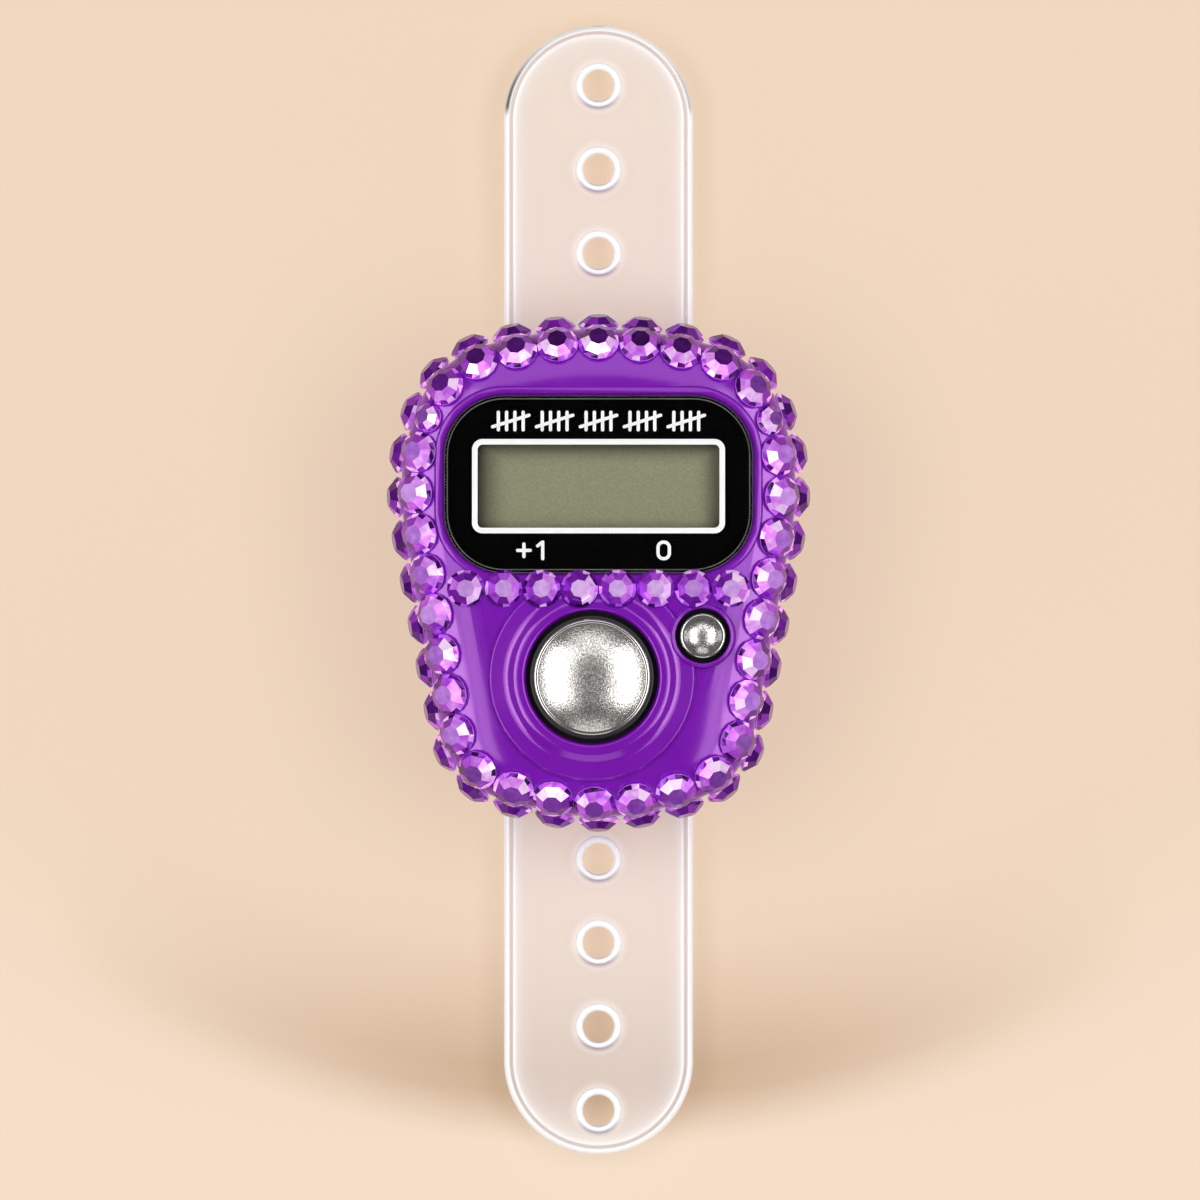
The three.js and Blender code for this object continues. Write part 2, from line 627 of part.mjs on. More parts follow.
function strapHoles() {
  const places = [UPPER_PEG_Y, LOWER_PEG_Y];
  for (let k = 0; k < TAIL_HOLES; k++) {
    places.push(STRAP_LENGTH / 2 - UPPER_END_TO_HOLE - k * HOLE_PITCH);
    places.push(LOWER_END_TO_HOLE - STRAP_LENGTH / 2 + k * HOLE_PITCH);
  }
  return places;
}

// The strap with its rim and its eyelets standing a little above the field between them.
function wholeStrap() {
  const blank = slab(strapOutline(0), STRAP_Z, STRAP_TOP_Z, 8);
  const field = strapOutline(STRAP_RIM_WIDTH);
  const sunk = [
    slab(field, STRAP_Z - PUSH_THROUGH, STRAP_Z + STRAP_FIELD_DROP, 8),
    slab(field, STRAP_TOP_Z - STRAP_FIELD_DROP, STRAP_TOP_Z + PUSH_THROUGH, 8),
  ];
  const eyelets = strapHoles().map((y) => disc(EYELET, STRAP_Z, STRAP_TOP_Z, 0, y, 10));
  const holes = strapHoles().map((y) =>
    disc(STRAP_HOLE, STRAP_Z - PUSH_THROUGH, STRAP_TOP_Z + PUSH_THROUGH, 0, y, 10));
  return cut(join([cut(blank, sunk), ...eyelets]), holes);
}

function strapNodes() {
  const whole = wholeStrap();
  const between = (low, high) => whole.intersect(block(-FAR, FAR, low, high, 0, BACK_Z));
  return [
    node('strap_middle', between(LOWER_FOLD_Y + GAP / 2, UPPER_FOLD_Y - GAP / 2), materials.clear),
    node('strap_upper_tail', between(UPPER_FOLD_Y + GAP / 2, FAR), materials.clear),
    node('strap_lower_tail', between(-FAR, LOWER_FOLD_Y - GAP / 2), materials.clear),
  ];
}

// Display

function displayNodes() {
  const lens = rounded(WINDOW, 0, WINDOW_Y, -LENS_GAP);
  const opening = slab(
    rounded(MASK_OPENING, 0, VIEW_Y), MASK_Z - PUSH_THROUGH, LENS_Z + PUSH_THROUGH);
  const glassY = VIEW_Y + GLASS_RISE;
  const right = GLASS.x / 2;
  const top = glassY + GLASS.y / 2;
  const bottom = glassY - GLASS.y / 2;
  const rearBottom = bottom + CONTACT_LEDGE;
  const film = (low, y0) =>
    block(-right + FILM_INSET, right - FILM_INSET, y0 + FILM_INSET, top - FILM_INSET,
      low, low + FILM_THICKNESS);
  const zebraY = bottom + (CONTACT_LEDGE - ZEBRA.y) / 2;
  return [
    node('display_lens', slab(lens, LENS_Z, LENS_Z + LENS_THICKNESS), materials.lens),
    node('display_mask', cut(slab(lens, MASK_Z, LENS_Z), [opening]), materials.black),
    node('lcd_front_polariser', film(LEDGE_Z - FILM_THICKNESS, bottom), materials.glass),
    node('lcd_front_glass',
      block(-right, right, bottom, top, FRONT_GLASS_Z, FRONT_GLASS_Z + GLASS_THICKNESS),
      materials.glass),
    node('lcd_rear_glass',
      block(-right, right, rearBottom, top, REAR_GLASS_Z, FRONT_GLASS_Z), materials.glass),
    node('lcd_reflector', film(REAR_GLASS_Z - FILM_THICKNESS, rearBottom), materials.reflector),
    node('zebra_connector',
      block(-ZEBRA.x / 2, ZEBRA.x / 2, zebraY, zebraY + ZEBRA.y, BOARD_TOP_Z, FRONT_GLASS_Z),
      materials.rubber),
  ];
}

// Circuit board

function boardNodes() {
  const blank = slab(caseOutline(SIDE_WALL + BOARD_GAP), BOARD_Z, BOARD_TOP_Z);
  const notches = caseScrews.map(({ x, y }) =>
    disc(CASE_BOSS + 2 * GAP, BOARD_Z - PUSH_THROUGH, BOARD_TOP_Z + PUSH_THROUGH, x, y, 14));
  const holes = boardScrews.map(({ x, y }) => disc(
    BOARD_SCREW.shank + 2 * SCREW_GAP, BOARD_Z - PUSH_THROUGH, BOARD_TOP_Z + PUSH_THROUGH, x, y, 12));
  const onBack = ({ x, y, length, width, height }) =>
    block(x - length / 2, x + length / 2, y - width / 2, y + width / 2, BOARD_Z - height, BOARD_Z);
  const chip = turned([
    [0, BOARD_Z - CHIP.height],
    [CHIP.crown, BOARD_Z - CHIP.shoulder],
    [CHIP.r, BOARD_Z],
    [0, BOARD_Z],
  ], CHIP.x, CHIP.y, 14);
  return [
    node('circuit_board', cut(blank, [...notches, ...holes]), materials.board),
    node('processor_blob', chip, materials.black),
    node('timing_resistor', onBack(RESISTOR), materials.black),
    node('supply_capacitor', onBack(CAPACITOR), materials.ceramic),
  ];
}

// A pan-head screw that points up, with a cross recess in the underside of its head.
function screw(size, seatZ) {
  const { head, headHeight, headFlat, headEdge, shank, length, tip, cross, crossWidth, crossDepth } = size;
  const low = seatZ - headHeight;
  const body = turned([
    [0, low],
    [headFlat / 2, low],
    [head / 2, seatZ - headEdge],
    [head / 2, seatZ],
    [shank / 2, seatZ],
    [shank / 2, seatZ + length - shank / 2],
    [tip / 2, seatZ + length],
    [0, seatZ + length],
  ], 0, 0, 10);
  const arm = cross / 2;
  const half = crossWidth / 2;
  return cut(body, [
    block(-arm, arm, -half, half, low - PUSH_THROUGH, low + crossDepth),
    block(-half, half, -arm, arm, low - PUSH_THROUGH, low + crossDepth),
  ]);
}

function screwNodes() {
  const caseSolid = screw(CASE_SCREW, caseScrewSeatZ);
  const boardSolid = screw(BOARD_SCREW, BOARD_Z);
  const placed = (name, solid, places) => places.map(({ x, y }, i) =>
    groupAt(x, y, [node(`${name}_${i + 1}`, solid, materials.steel)]));
  return [
    ...placed('case_screw', caseSolid, caseScrews),
    ...placed('board_screw', boardSolid, boardScrews),
  ];
}

// Buttons

// A button's plunger, its cap, and the carbon pill that it presses onto the board.
function buttonNodes(name, size) {
  const { hole, cap, capHeight, flange, post, travel, domeBase, domeTop, pill } = size;
  const top = FACE_Z + PLUNGER_SHOW;
  const flangeTop = CEILING_Z - GAP;
  const ceiling = BOARD_TOP_Z + PILL_SPARE + travel + PILL_THICKNESS;
  const domeTopZ = ceiling + DOME_WALL;
  const barrel = hole / 2 - GAP;
  const plunger = turned([
    [0, domeTopZ],
    [post / 2, domeTopZ],
    [post / 2, flangeTop - FLANGE_THICKNESS],
    [flange / 2, flangeTop - FLANGE_THICKNESS],
    [flange / 2, flangeTop],
    [barrel, flangeTop],
    [barrel, top],
    [0, top],
  ]);
  const capSection = [
    [0, top],
    [cap / 2 - CAP_EDGE, top],
    [cap / 2, top + CAP_RIM / 2],
    [cap / 2, top + CAP_RIM],
  ];
  const crown = capHeight - CAP_RIM;
  const bulge = ((cap / 2) ** 2 + crown ** 2) / (2 * crown);
  for (let step = 1; step <= CROWN_STEPS; step++) {
    const radius = (cap / 2) * (1 - step / CROWN_STEPS);
    const height = Math.sqrt(bulge ** 2 - radius ** 2) - bulge + crown;
    capSection.push([radius, top + CAP_RIM + height]);
  }
  const dome = turned([
    [domeBase / 2 - DOME_WALL, KEYPAD_TOP_Z],
    [domeBase / 2, KEYPAD_TOP_Z],
    [domeTop / 2, domeTopZ],
    [0, domeTopZ],
    [0, ceiling],
    [domeTop / 2 - DOME_WALL, ceiling],
    [domeBase / 2 - DOME_WALL, KEYPAD_TOP_Z],
  ], 0, 0, 16);
  return groupAt(size.x, size.y, [
    node(`${name}_cap`, turned(capSection), materials.silver),
    node(`${name}_plunger`, plunger, materials.black),
    node(`${name}_dome`, dome, materials.rubber),
    node(`${name}_contact_pill`, disc(pill, ceiling - PILL_THICKNESS, ceiling, 0, 0, 12),
      materials.carbon),
  ]);
}

// The rubber sheet under both buttons, open under each dome.
function keypad() {
  const margin = KEYPAD_MARGIN;
  const left = COUNT.x - COUNT.domeBase / 2 - margin;
  const right = RESET.x + RESET.domeBase / 2 + margin;
  const bottom = COUNT.y - COUNT.domeBase / 2 - margin;
  const top = RESET.y + RESET.domeBase / 2 + margin;
  const sheet = slab(
    rounded({ x: right - left, y: top - bottom, r: KEYPAD_CORNER },
      (left + right) / 2, (bottom + top) / 2),
    BOARD_TOP_Z, KEYPAD_TOP_Z);
  const openings = [COUNT, RESET].map(({ x, y, domeBase }) =>
    disc(domeBase - 2 * DOME_WALL - GAP, BOARD_TOP_Z - PUSH_THROUGH, KEYPAD_TOP_Z + PUSH_THROUGH,
      x, y, 16));
  const notches = caseScrews.map(({ x, y }) =>
    disc(CASE_BOSS + 2 * GAP, BOARD_TOP_Z - PUSH_THROUGH, KEYPAD_TOP_Z + PUSH_THROUGH, x, y, 14));
  return node('rubber_keypad', cut(sheet, [...openings, ...notches]), materials.rubber);
}

// Battery

const cellZ = FLOOR_Z + GAP;

function cellNodes() {
  const { across, height, skin, edge, cap, capRise, gasket } = CELL;
  const rim = cellZ + height - capRise;
  const can = turned([
    [0, cellZ],
    [across / 2 - edge, cellZ],
    [across / 2, cellZ + edge],
    [across / 2, rim],
    [across / 2 - skin, rim],
    [across / 2 - skin, cellZ + skin],
    [0, cellZ + skin],
  ]);
  const ring = tube(cap + 2 * GAP + 2 * gasket, cap + 2 * GAP, cellZ + skin, rim);
  const lid = turned([
    [0, cellZ + skin],
    [cap / 2, cellZ + skin],
    [cap / 2, rim],
    [cap / 2 - edge, cellZ + height],
    [0, cellZ + height],
  ]);
  return [
    node('cell_can', can, materials.steel),
    node('cell_gasket', ring, materials.black),
    node('cell_cap', lid, materials.steel),
  ];
}

function batteryDoor() {
  const collarInner = DOOR_COLLAR - 2 * DOOR_COLLAR_WALL;
  const collarTop = FLOOR_Z + DOOR_COLLAR_HEIGHT;
  const lugs = cut(
    doorLugs(FLOOR_Z + GAP, collarTop, 0, 0),
    [disc(collarInner, FLOOR_Z, collarTop + PUSH_THROUGH)]);
  const cap = disc(DOOR, BACK_Z, FLOOR_Z);
  const collar = tube(DOOR_COLLAR, collarInner, FLOOR_Z - BACK_WALL / 2, collarTop);
  const slot = block(
    -COIN_SLOT.x / 2, COIN_SLOT.x / 2, -COIN_SLOT.y / 2, COIN_SLOT.y / 2,
    BACK_Z - PUSH_THROUGH, BACK_Z + COIN_SLOT.depth);
  return node('battery_door', cut(join([cap, collar, lugs]), [slot]), materials.purple);
}

// The spring leaf that presses on the middle of the cell, soldered to the back of the board.
function negativeContact() {
  const half = CONTACT_WIDTH / 2;
  const cellTop = cellZ + CELL.height;
  const leafZ = cellTop + GAP;
  const end = CELL.across / 2;
  return node('negative_contact', join([
    disc(CONTACT_DIMPLE, cellTop, leafZ + CONTACT_SHEET, 0, 0, 12),
    block(-half, half, -half, end + CONTACT_SHEET, leafZ, leafZ + CONTACT_SHEET),
    block(-half, half, end, end + CONTACT_SHEET, leafZ, BOARD_Z),
    block(-half, half, end, end + CONTACT_FOOT, BOARD_Z - CONTACT_SHEET, BOARD_Z),
  ]), materials.brass);
}

// The upright tab that presses on the side of the cell.
function positiveContact() {
  const half = CONTACT_WIDTH / 2;
  const face = -CELL.across / 2 - GAP;
  const low = FLOOR_Z + DOOR_COLLAR_HEIGHT + GAP;
  return node('positive_contact', join([
    block(face - CONTACT_SHEET, face, -half, half, low, BOARD_Z),
    block(face - CONTACT_FOOT, face, -half, half, BOARD_Z - CONTACT_SHEET, BOARD_Z),
  ]), materials.brass);
}

const dividerSolid = solidOf(stoneGeometry(DIVIDER_STONE).translate(0, 0, FACE_Z));

const group = new THREE.Group();
group.add(
  node('front_cover', frontCover(), materials.purple),
  node('rear_cover', rearCover(), materials.purple),
  node('front_stone_ring', stoneRing(frontRing()), materials.stone),
  node('side_stone_ring', stoneRing(sideRing()), materials.stone),
  ...dividerPlaces().map(({ x, y }, i) =>
    groupAt(x, y, [node(`divider_stone_${i + 1}`, dividerSolid, materials.stone)])),
  ...strapNodes(),
  ...displayNodes(),
  ...boardNodes(),
  ...screwNodes(),
  keypad(),
  buttonNodes('count', COUNT),
  buttonNodes('reset', RESET),
  groupAt(0, BATTERY_Y, [
    ...cellNodes(), batteryDoor(), negativeContact(), positiveContact(),
  ]),
);

export default group;
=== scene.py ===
"""A jewelled finger tally counter on a clear strap, lying on a pale table and seen from straight above.

Pieces are modelled in millimetres and brought to metres when they are finished.
"""

import math
import random

import bmesh
import bpy
from mathutils import Matrix, Vector


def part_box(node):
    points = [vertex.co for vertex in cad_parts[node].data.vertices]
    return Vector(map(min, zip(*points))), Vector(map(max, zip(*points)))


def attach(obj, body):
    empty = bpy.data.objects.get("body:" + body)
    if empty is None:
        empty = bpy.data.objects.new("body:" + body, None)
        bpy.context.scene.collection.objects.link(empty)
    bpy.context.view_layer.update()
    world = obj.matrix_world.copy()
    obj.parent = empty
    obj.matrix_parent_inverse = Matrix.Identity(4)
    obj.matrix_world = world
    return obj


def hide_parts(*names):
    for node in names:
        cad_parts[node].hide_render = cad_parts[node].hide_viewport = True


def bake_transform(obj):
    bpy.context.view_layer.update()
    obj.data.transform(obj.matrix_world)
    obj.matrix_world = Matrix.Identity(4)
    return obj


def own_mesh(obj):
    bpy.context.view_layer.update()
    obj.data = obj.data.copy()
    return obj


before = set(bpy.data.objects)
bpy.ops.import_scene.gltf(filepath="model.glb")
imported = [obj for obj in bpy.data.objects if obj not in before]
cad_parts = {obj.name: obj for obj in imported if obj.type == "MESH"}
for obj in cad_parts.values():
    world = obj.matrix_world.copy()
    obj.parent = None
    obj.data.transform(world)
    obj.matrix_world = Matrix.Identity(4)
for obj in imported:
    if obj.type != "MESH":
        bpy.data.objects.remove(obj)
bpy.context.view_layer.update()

# Measures taken from the frame


def node_box(node):
    """The lowest and highest corner of a node at rest, in millimetres."""
    low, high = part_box(node)
    return Vector(low) * 1000, Vector(high) * 1000


def middle_of(node):
    low, high = node_box(node)
    return (low + high) / 2


LENS_LOW, LENS_HIGH = node_box("display_lens")
MASK_LOW, MASK_HIGH = node_box("display_mask")
DOOR_LOW, DOOR_HIGH = node_box("battery_door")
STRAP_LOW, STRAP_HIGH = node_box("strap_middle")
STRAP_BOTTOM_END = node_box("strap_lower_tail")[0].y
STRAP_TOP_END = node_box("strap_upper_tail")[1].y

# Case, in millimetres

GAP = 0.3
LENS_RECESS = 0.1
LENS_GAP = 0.2
FACE = LENS_HIGH.z + LENS_RECESS
BACK = DOOR_LOW.z
PARTING = node_box("rear_cover")[1].z
FACE_WALL = 1.3
SIDE_WALL = 1.4
BACK_WALL = 1.4
CEILING = FACE - FACE_WALL
FLOOR = BACK + BACK_WALL
FLOOR_ROOT = FLOOR - BACK_WALL / 2  # what stands on the rear wall starts inside it, at this height
FACE_ROOT = -FACE_WALL / 2  # and the discs of the face start this far under it
COVE = ((0.0, 1.6), (0.6, 0.5), (1.9, 0.0))  # how far in, and how far under the ceiling, the cavity runs
LEDGE = (27.0, 16.5, 6.0)
LEDGE_DROP = 1.1
CASE_CORNERS = ((0, 22, 31.5), (13.1, 18.45, 8), (16.3, 9.3, 17), (11.6, -15.8, 7), (0, -18.7, 18.4))
SHOULDER_DEPTH = 3.2
CROWN_REACH = 7.0  # how far in from the outline the face starts to fall
CROWN_POWER = 2.8
BACK_EDGE = 1.6
PARTING_CHAMFER = 0.12
WINDOW = (25.0, 14.5, 5.0)  # width, height and corner radius
WINDOW_Y = 8.44
VIEW = (19.3, 6.64, 0.4)
VIEW_Y = 8.28
PRINT_STROKE = 0.44
PRINT_LOW = MASK_HIGH.z - 0.02
PRINT_TOP = MASK_HIGH.z - 0.004
TALLY_PITCH = 3.5
TALLY_STEP = 0.66
TALLY_LOW, TALLY_HIGH = 12.78, 14.18
TALLY_SLANT = 1.45
MARK_Y = 3.16

# Battery door and screws

DOOR_RADIUS = 7.2
DOOR_LIP = (6.9, 6.1)  # outer and inner radius
DOOR_LIP_HEIGHT = 1.1
DOOR_NOTCH_ANGLE = -60
LUG_ROOT = 6.5
LUG_WIDTH = 3.4
COIN_SLOT = (9.4, 1.8, 0.9)
COIN_SLOT_FLOOR = (9.0, 1.4, 0.7)
SCREW_BOSS = 3.6
SCREW_WELL = 3.0
SCREW_WELL_DEPTH = 2.5
SCREW_BORE = 1.8
SCREWS = (("case_screw", 4, 1.2, 0.65), ("board_screw", 3, 0.8, 0.5))  # with head height and shank radius

# Buttons

COUNT_PLACE = middle_of("count_cap")
RESET_PLACE = middle_of("reset_cap")
COUNT_HOLE = 10.56
RESET_HOLE = 4.34
CAP_POWER = 2.5  # above 2, a cap is flatter in the middle than a ball
DOME_TOP = 0.58  # a rubber dome's top radius as a share of its base
DOME_WALL = 0.4

# Stones

STONE = 3.28
SMALL_STONE = 2.4
DIVIDER_STONE = 3.0
STONE_HEIGHT = 1.1
STONE_SEAT_ANGLE = math.radians(33.75)
STONE_SEAT_INSET = 1.2
STONE_SEAT_HEIGHT = FACE - 0.82
RING_SIDE_STONES = 16
SMALL_STONE_PLACE = 5
BOTTOM_STONE_SHIFT = 0.35
SIDE_RING_STONES = 34
SIDE_RING_OFFSET = 0.06
SIDE_STONE_HEIGHT = 1.0
SIDE_STONE_ANGLE = math.radians(80)
SIDE_RING_HEIGHT = FACE - 4.6

# Strap

STRAP_HOLE = 2.5
EYELET = 3.8
HOLE_PITCH = 6.72
UPPER_END_TO_HOLE = 4.8
LOWER_END_TO_HOLE = 3.52
TAIL_HOLES = 4
PEGS = (13.52, -8.08)
KEEPERS = (16.6, -13.0)
KEEPER_WIDTH = 2.4
KEEPER_LEG = 1.5
PEG_HEAD = 1.6
FOLD_LENGTH = 2.5
FOLD_CUTS = 12
STRAP_MAP = "strap_flat"
MAP_SPAN = 100.0  # millimetres of strap across its flat map
RIM_SPAN = 3.0  # millimetres from the strap's edge, or from a hole's centre, that its shading covers


def srgb(red, green, blue):
    """A colour of a photograph, 0 to 255, as Blender's linear colour."""
    def linear(value):
        value /= 255
        return value / 12.92 if value <= 0.04045 else ((value + 0.055) / 1.055) ** 2.4
    return linear(red), linear(green), linear(blue), 1.0


# Outlines and bodies


def rounded(corners, inset=0.0, step=6.0, closed=True):
    """Points along straight runs joined by arcs. Each corner is (x, y, radius), and an inset moves
    the line to its left."""
    points = []
    count = len(corners)
    for i, (x, y, radius) in enumerate(corners):
        corner = Vector((x, y))
        if not closed and i in (0, count - 1):
            points.append(corner)
            continue
        into = (corner - Vector(corners[i - 1][:2])).normalized()
        out = (Vector(corners[(i + 1) % count][:2]) - corner).normalized()
        turn = math.acos(max(-1.0, min(1.0, into.dot(out))))
        side = 1 if into.cross(out) > 0 else -1
        centre = corner + (out - into).normalized() * radius / math.cos(turn / 2)
        first = math.atan2(-into.x * side, into.y * side)
        steps = max(1, math.ceil(math.degrees(turn) / step)) if radius else 0
        reach = radius - side * inset
        if not steps:
            away = (into - out).normalized()
            points.append(corner - away * side * inset / math.cos(turn / 2))
            continue
        for k in range(steps + 1):
            angle = first + side * turn * k / steps
            points.append(centre + reach * Vector((math.cos(angle), math.sin(angle))))
    return points


def rounded_rectangle(size, centre_y=0.0, inset=0.0, centre_x=0.0, step=6.0):
    width, height, radius = size
    right, top = width / 2, height / 2
    corners = [(right, -top, radius), (right, top, radius), (-right, top, radius), (-right, -top, radius)]
    placed = [(x + centre_x, y + centre_y, r) for x, y, r in corners]
    return rounded(placed, inset, step)


def case_outline(inset=0.0, step=4.0):
    """The case's outline from its bottom round to the right, drawn in by an inset."""
    right = [(x, y, radius) for x, y, radius in reversed(CASE_CORNERS)]
    left = [(-x, y, radius) for x, y, radius in CASE_CORNERS[1:-1]]
    return rounded(right + left, inset, step)


def window_outline(inset=0.0):
    return rounded_rectangle(WINDOW, WINDOW_Y, inset)


def view_outline(inset=0.0):
    return rounded_rectangle(VIEW, VIEW_Y, inset)


def circle(radius, centre=(0, 0), sides=96):
    return [
        Vector((centre[0] + radius * math.cos(2 * math.pi * k / sides),
                centre[1] + radius * math.sin(2 * math.pi * k / sides)))
        for k in range(sides)
    ]


def deselect():
    bpy.ops.object.select_all(action="DESELECT")


def pick(*objects):
    """Selects these objects alone and makes the first one active."""
    deselect()
    for obj in objects:
        obj.select_set(True)
    bpy.context.view_layer.objects.active = objects[0]


def loft(name, rings, hollow=False):
    """A body made by extruding a filled outline from ring to ring, each a (points, height). In a
    hollow body the last ring is its first, and both stay open until they are welded."""
    sides = len(rings[0][0])
    deselect()
    bpy.ops.mesh.primitive_circle_add(vertices=sides, radius=1, fill_type="NGON")
    piece = bpy.context.active_object
    piece.name = piece.data.name = name
    bpy.ops.object.mode_set(mode="EDIT")
    for number, (points, height) in enumerate(rings):
        if number:
            bpy.ops.mesh.extrude_region_move()
        shape = bmesh.from_edit_mesh(piece.data)
        place = shape.verts.layers.int.get("place") or shape.verts.layers.int.new("place")
        if not number:
            for k, vertex in enumerate(shape.verts):
                vertex[place] = k
        for vertex in shape.verts:
            if vertex.select:
                point = points[vertex[place]]
                vertex.co = (point[0], point[1], height)
        bmesh.update_edit_mesh(piece.data)
    if hollow:
        shape = bmesh.from_edit_mesh(piece.data)
        for face in shape.faces:
            face.select_set(len(face.verts) == sides and sides > 4)
        bmesh.update_edit_mesh(piece.data)
        bpy.ops.mesh.delete(type="ONLY_FACE")
    bpy.ops.mesh.select_all(action="SELECT")
    bpy.ops.mesh.remove_doubles(threshold=1e-4)
    bpy.ops.mesh.normals_make_consistent(inside=False)
    bpy.ops.object.mode_set(mode="OBJECT")
    piece.data.attributes.remove(piece.data.attributes["place"])
    return piece


def prism(name, points, low, high):
    return loft(name, [(points, low), (points, high)])


def turned(name, section, centre=(0, 0), sides=96, hollow=False):
    """A body turned about an upright axis, from its half section of (radius, height) points."""
    rings = [(circle(radius, centre, sides), height) for radius, height in section]
    return loft(name, rings, hollow)


def turned_corners(name, corners, centre, sides, step, hollow=False):
    """A turned body whose section is given by its corners, each (radius, height, rounding)."""
    section = [(p.x, p.y) for p in rounded(corners, step=step, closed=False)]
    return turned(name, section, centre, sides, hollow)


def copy_of(original):
    """A copy with its own mesh, linked to the scene."""
    copy = original.copy()
    copy.data = original.data.copy()
    bpy.context.collection.objects.link(copy)
    return copy


def join(name, pieces):
    pick(*pieces)
    if len(pieces) > 1:
        bpy.ops.object.join()
    whole = bpy.context.active_object
    whole.name = whole.data.name = name
    return whole


def boolean(piece, operation, tools, crossing):
    """Adds the tools to a piece or cuts them from it, and uses them up."""
    tool = join("tool", list(tools))
    pick(piece)
    change = piece.modifiers.new("cut", "BOOLEAN")
    change.operation = operation
    change.solver = "EXACT"
    change.use_self = crossing
    change.object = tool
    bpy.ops.object.modifier_apply(modifier=change.name)
    bpy.data.objects.remove(tool)
    return piece


def cut(piece, *tools, crossing=False):
    return boolean(piece, "DIFFERENCE", tools, crossing)


def add(piece, *tools, crossing=False):
    return boolean(piece, "UNION", tools, crossing)


def finish(piece, material, body, replaces=(), smooth=40.0):
    """Brings a piece to metres, smooths it, and gives it its finish and the body that it rides on."""
    pick(piece)
    piece.data.transform(Matrix.Scale(0.001, 4))
    if smooth:
        bpy.ops.object.shade_smooth_by_angle(angle=math.radians(smooth))
    if material:
        piece.data.materials.clear()
        piece.data.materials.append(material)
    if replaces:
        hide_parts(*replaces)
    if body:
        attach(piece, body)
    deselect()
    return piece


# Materials


class Nodes:
    """A material's node tree, with short ways to add and link nodes."""

    def __init__(self, name):
        self.material = bpy.data.materials.new(name)
        self.material.use_nodes = True
        self.tree = self.material.node_tree
        self.shader = self.tree.nodes["Principled BSDF"]
        self.column = -300

    def node(self, kind, **settings):
        added = self.tree.nodes.new(kind)
        self.column -= 40
        added.location = (self.column, self.column / 2)
        for key, value in settings.items():
            setattr(added, key, value)
        return added

    def put(self, node, **values):
        for key, value in values.items():
            node.inputs[key.replace("_", " ")].default_value = value
        return node

    def link(self, output, target):
        self.tree.links.new(output, target)

    def paint(self, name, output):
        """Links an output to one of the shader's sockets."""
        self.link(output, self.shader.inputs[name])

    def set(self, values):
        for key, value in values.items():
            self.shader.inputs[key].default_value = value

    def group(self, tree, **values):
        added = self.node("ShaderNodeGroup", node_tree=tree)
        return self.put(added, **values)

    def marks(self, size, contrast):
        """The mask of the handling marks."""
        return self.group(MARKS, Size=size, Contrast=contrast).outputs["Mask"]

    def mix(self, factor, low, high):
        """A colour between two colours, by a mask."""
        added = self.node("ShaderNodeMix", data_type="RGBA")
        self.link(factor, added.inputs["Factor"])
        for socket, value in ((added.inputs[6], low), (added.inputs[7], high)):
            if isinstance(value, bpy.types.NodeSocket):
                self.link(value, socket)
            else:
                socket.default_value = value
        return added.outputs[2]

    def spread(self, value, low, high, start=0.0, end=1.0):
        """A value brought from one range to another."""
        added = self.node("ShaderNodeMapRange")
        self.link(value, added.inputs["Value"])
        self.put(added, From_Min=start, From_Max=end, To_Min=low, To_Max=high)
        return added.outputs["Result"]

    def math(self, operation, first, second=0.0, third=0.0):
        """The result of a sum on sockets or plain numbers."""
        added = self.node("ShaderNodeMath", operation=operation)
        for socket, value in zip(added.inputs, (first, second, third)):
            if isinstance(value, bpy.types.NodeSocket):
                self.link(value, socket)
            else:
                socket.default_value = value
        return added.outputs["Value"]

    def times(self, first, second):
        return self.math("MULTIPLY", first, second)

    def less(self, first, second):
        return self.math("SUBTRACT", first, second)

    def over(self, span, value, stops):
        """A ramp whose places are shares of a span."""
        return self.ramp(self.math("DIVIDE", value, span), stops)

    def ramp(self, value, stops):
        """A value or colour read off a ramp of (place, value) stops."""
        added = self.node("ShaderNodeValToRGB")
        while len(added.color_ramp.elements) < len(stops):
            added.color_ramp.elements.new(1.0)
        for element, (place, shade) in zip(added.color_ramp.elements, stops):
            element.position = place
            element.color = shade if isinstance(shade, tuple) else (shade, shade, shade, 1)
        self.link(value, added.inputs["Fac"])
        return added.outputs["Color"]

    def place(self):
        """The place on the object, in millimetres, as three values."""
        here = self.node("ShaderNodeTexCoord")
        scaled = self.node("ShaderNodeVectorMath", operation="SCALE")
        scaled.inputs["Scale"].default_value = 1000
        self.link(here.outputs["Object"], scaled.inputs[0])
        parts = self.node("ShaderNodeSeparateXYZ")
        self.link(scaled.outputs["Vector"], parts.inputs["Vector"])
        return parts.outputs["X"], parts.outputs["Y"], parts.outputs["Z"]

    def distance(self, centre):
        """The distance in metres from an upright axis through a place given in millimetres."""
        place = self.node("ShaderNodeTexCoord")
        moved = self.node("ShaderNodeMapping")
        moved.inputs["Location"].default_value = (-centre[0] / 1000, -centre[1] / 1000, 0)
        moved.inputs["Scale"].default_value = (1, 1, 0)
        length = self.node("ShaderNodeVectorMath", operation="LENGTH")
        self.link(place.outputs["Object"], moved.inputs["Vector"])
        self.link(moved.outputs["Vector"], length.inputs[0])
        return length.outputs["Value"]


def new_group(name, inputs, outputs):
    tree = bpy.data.node_groups.new(name, "ShaderNodeTree")
    for label, value in inputs:
        socket = tree.interface.new_socket(label, in_out="INPUT", socket_type="NodeSocketFloat")
        socket.default_value = value
    for label, kind in outputs:
        tree.interface.new_socket(label, in_out="OUTPUT", socket_type=kind)
    return tree, tree.nodes.new("NodeGroupInput"), tree.nodes.new("NodeGroupOutput")


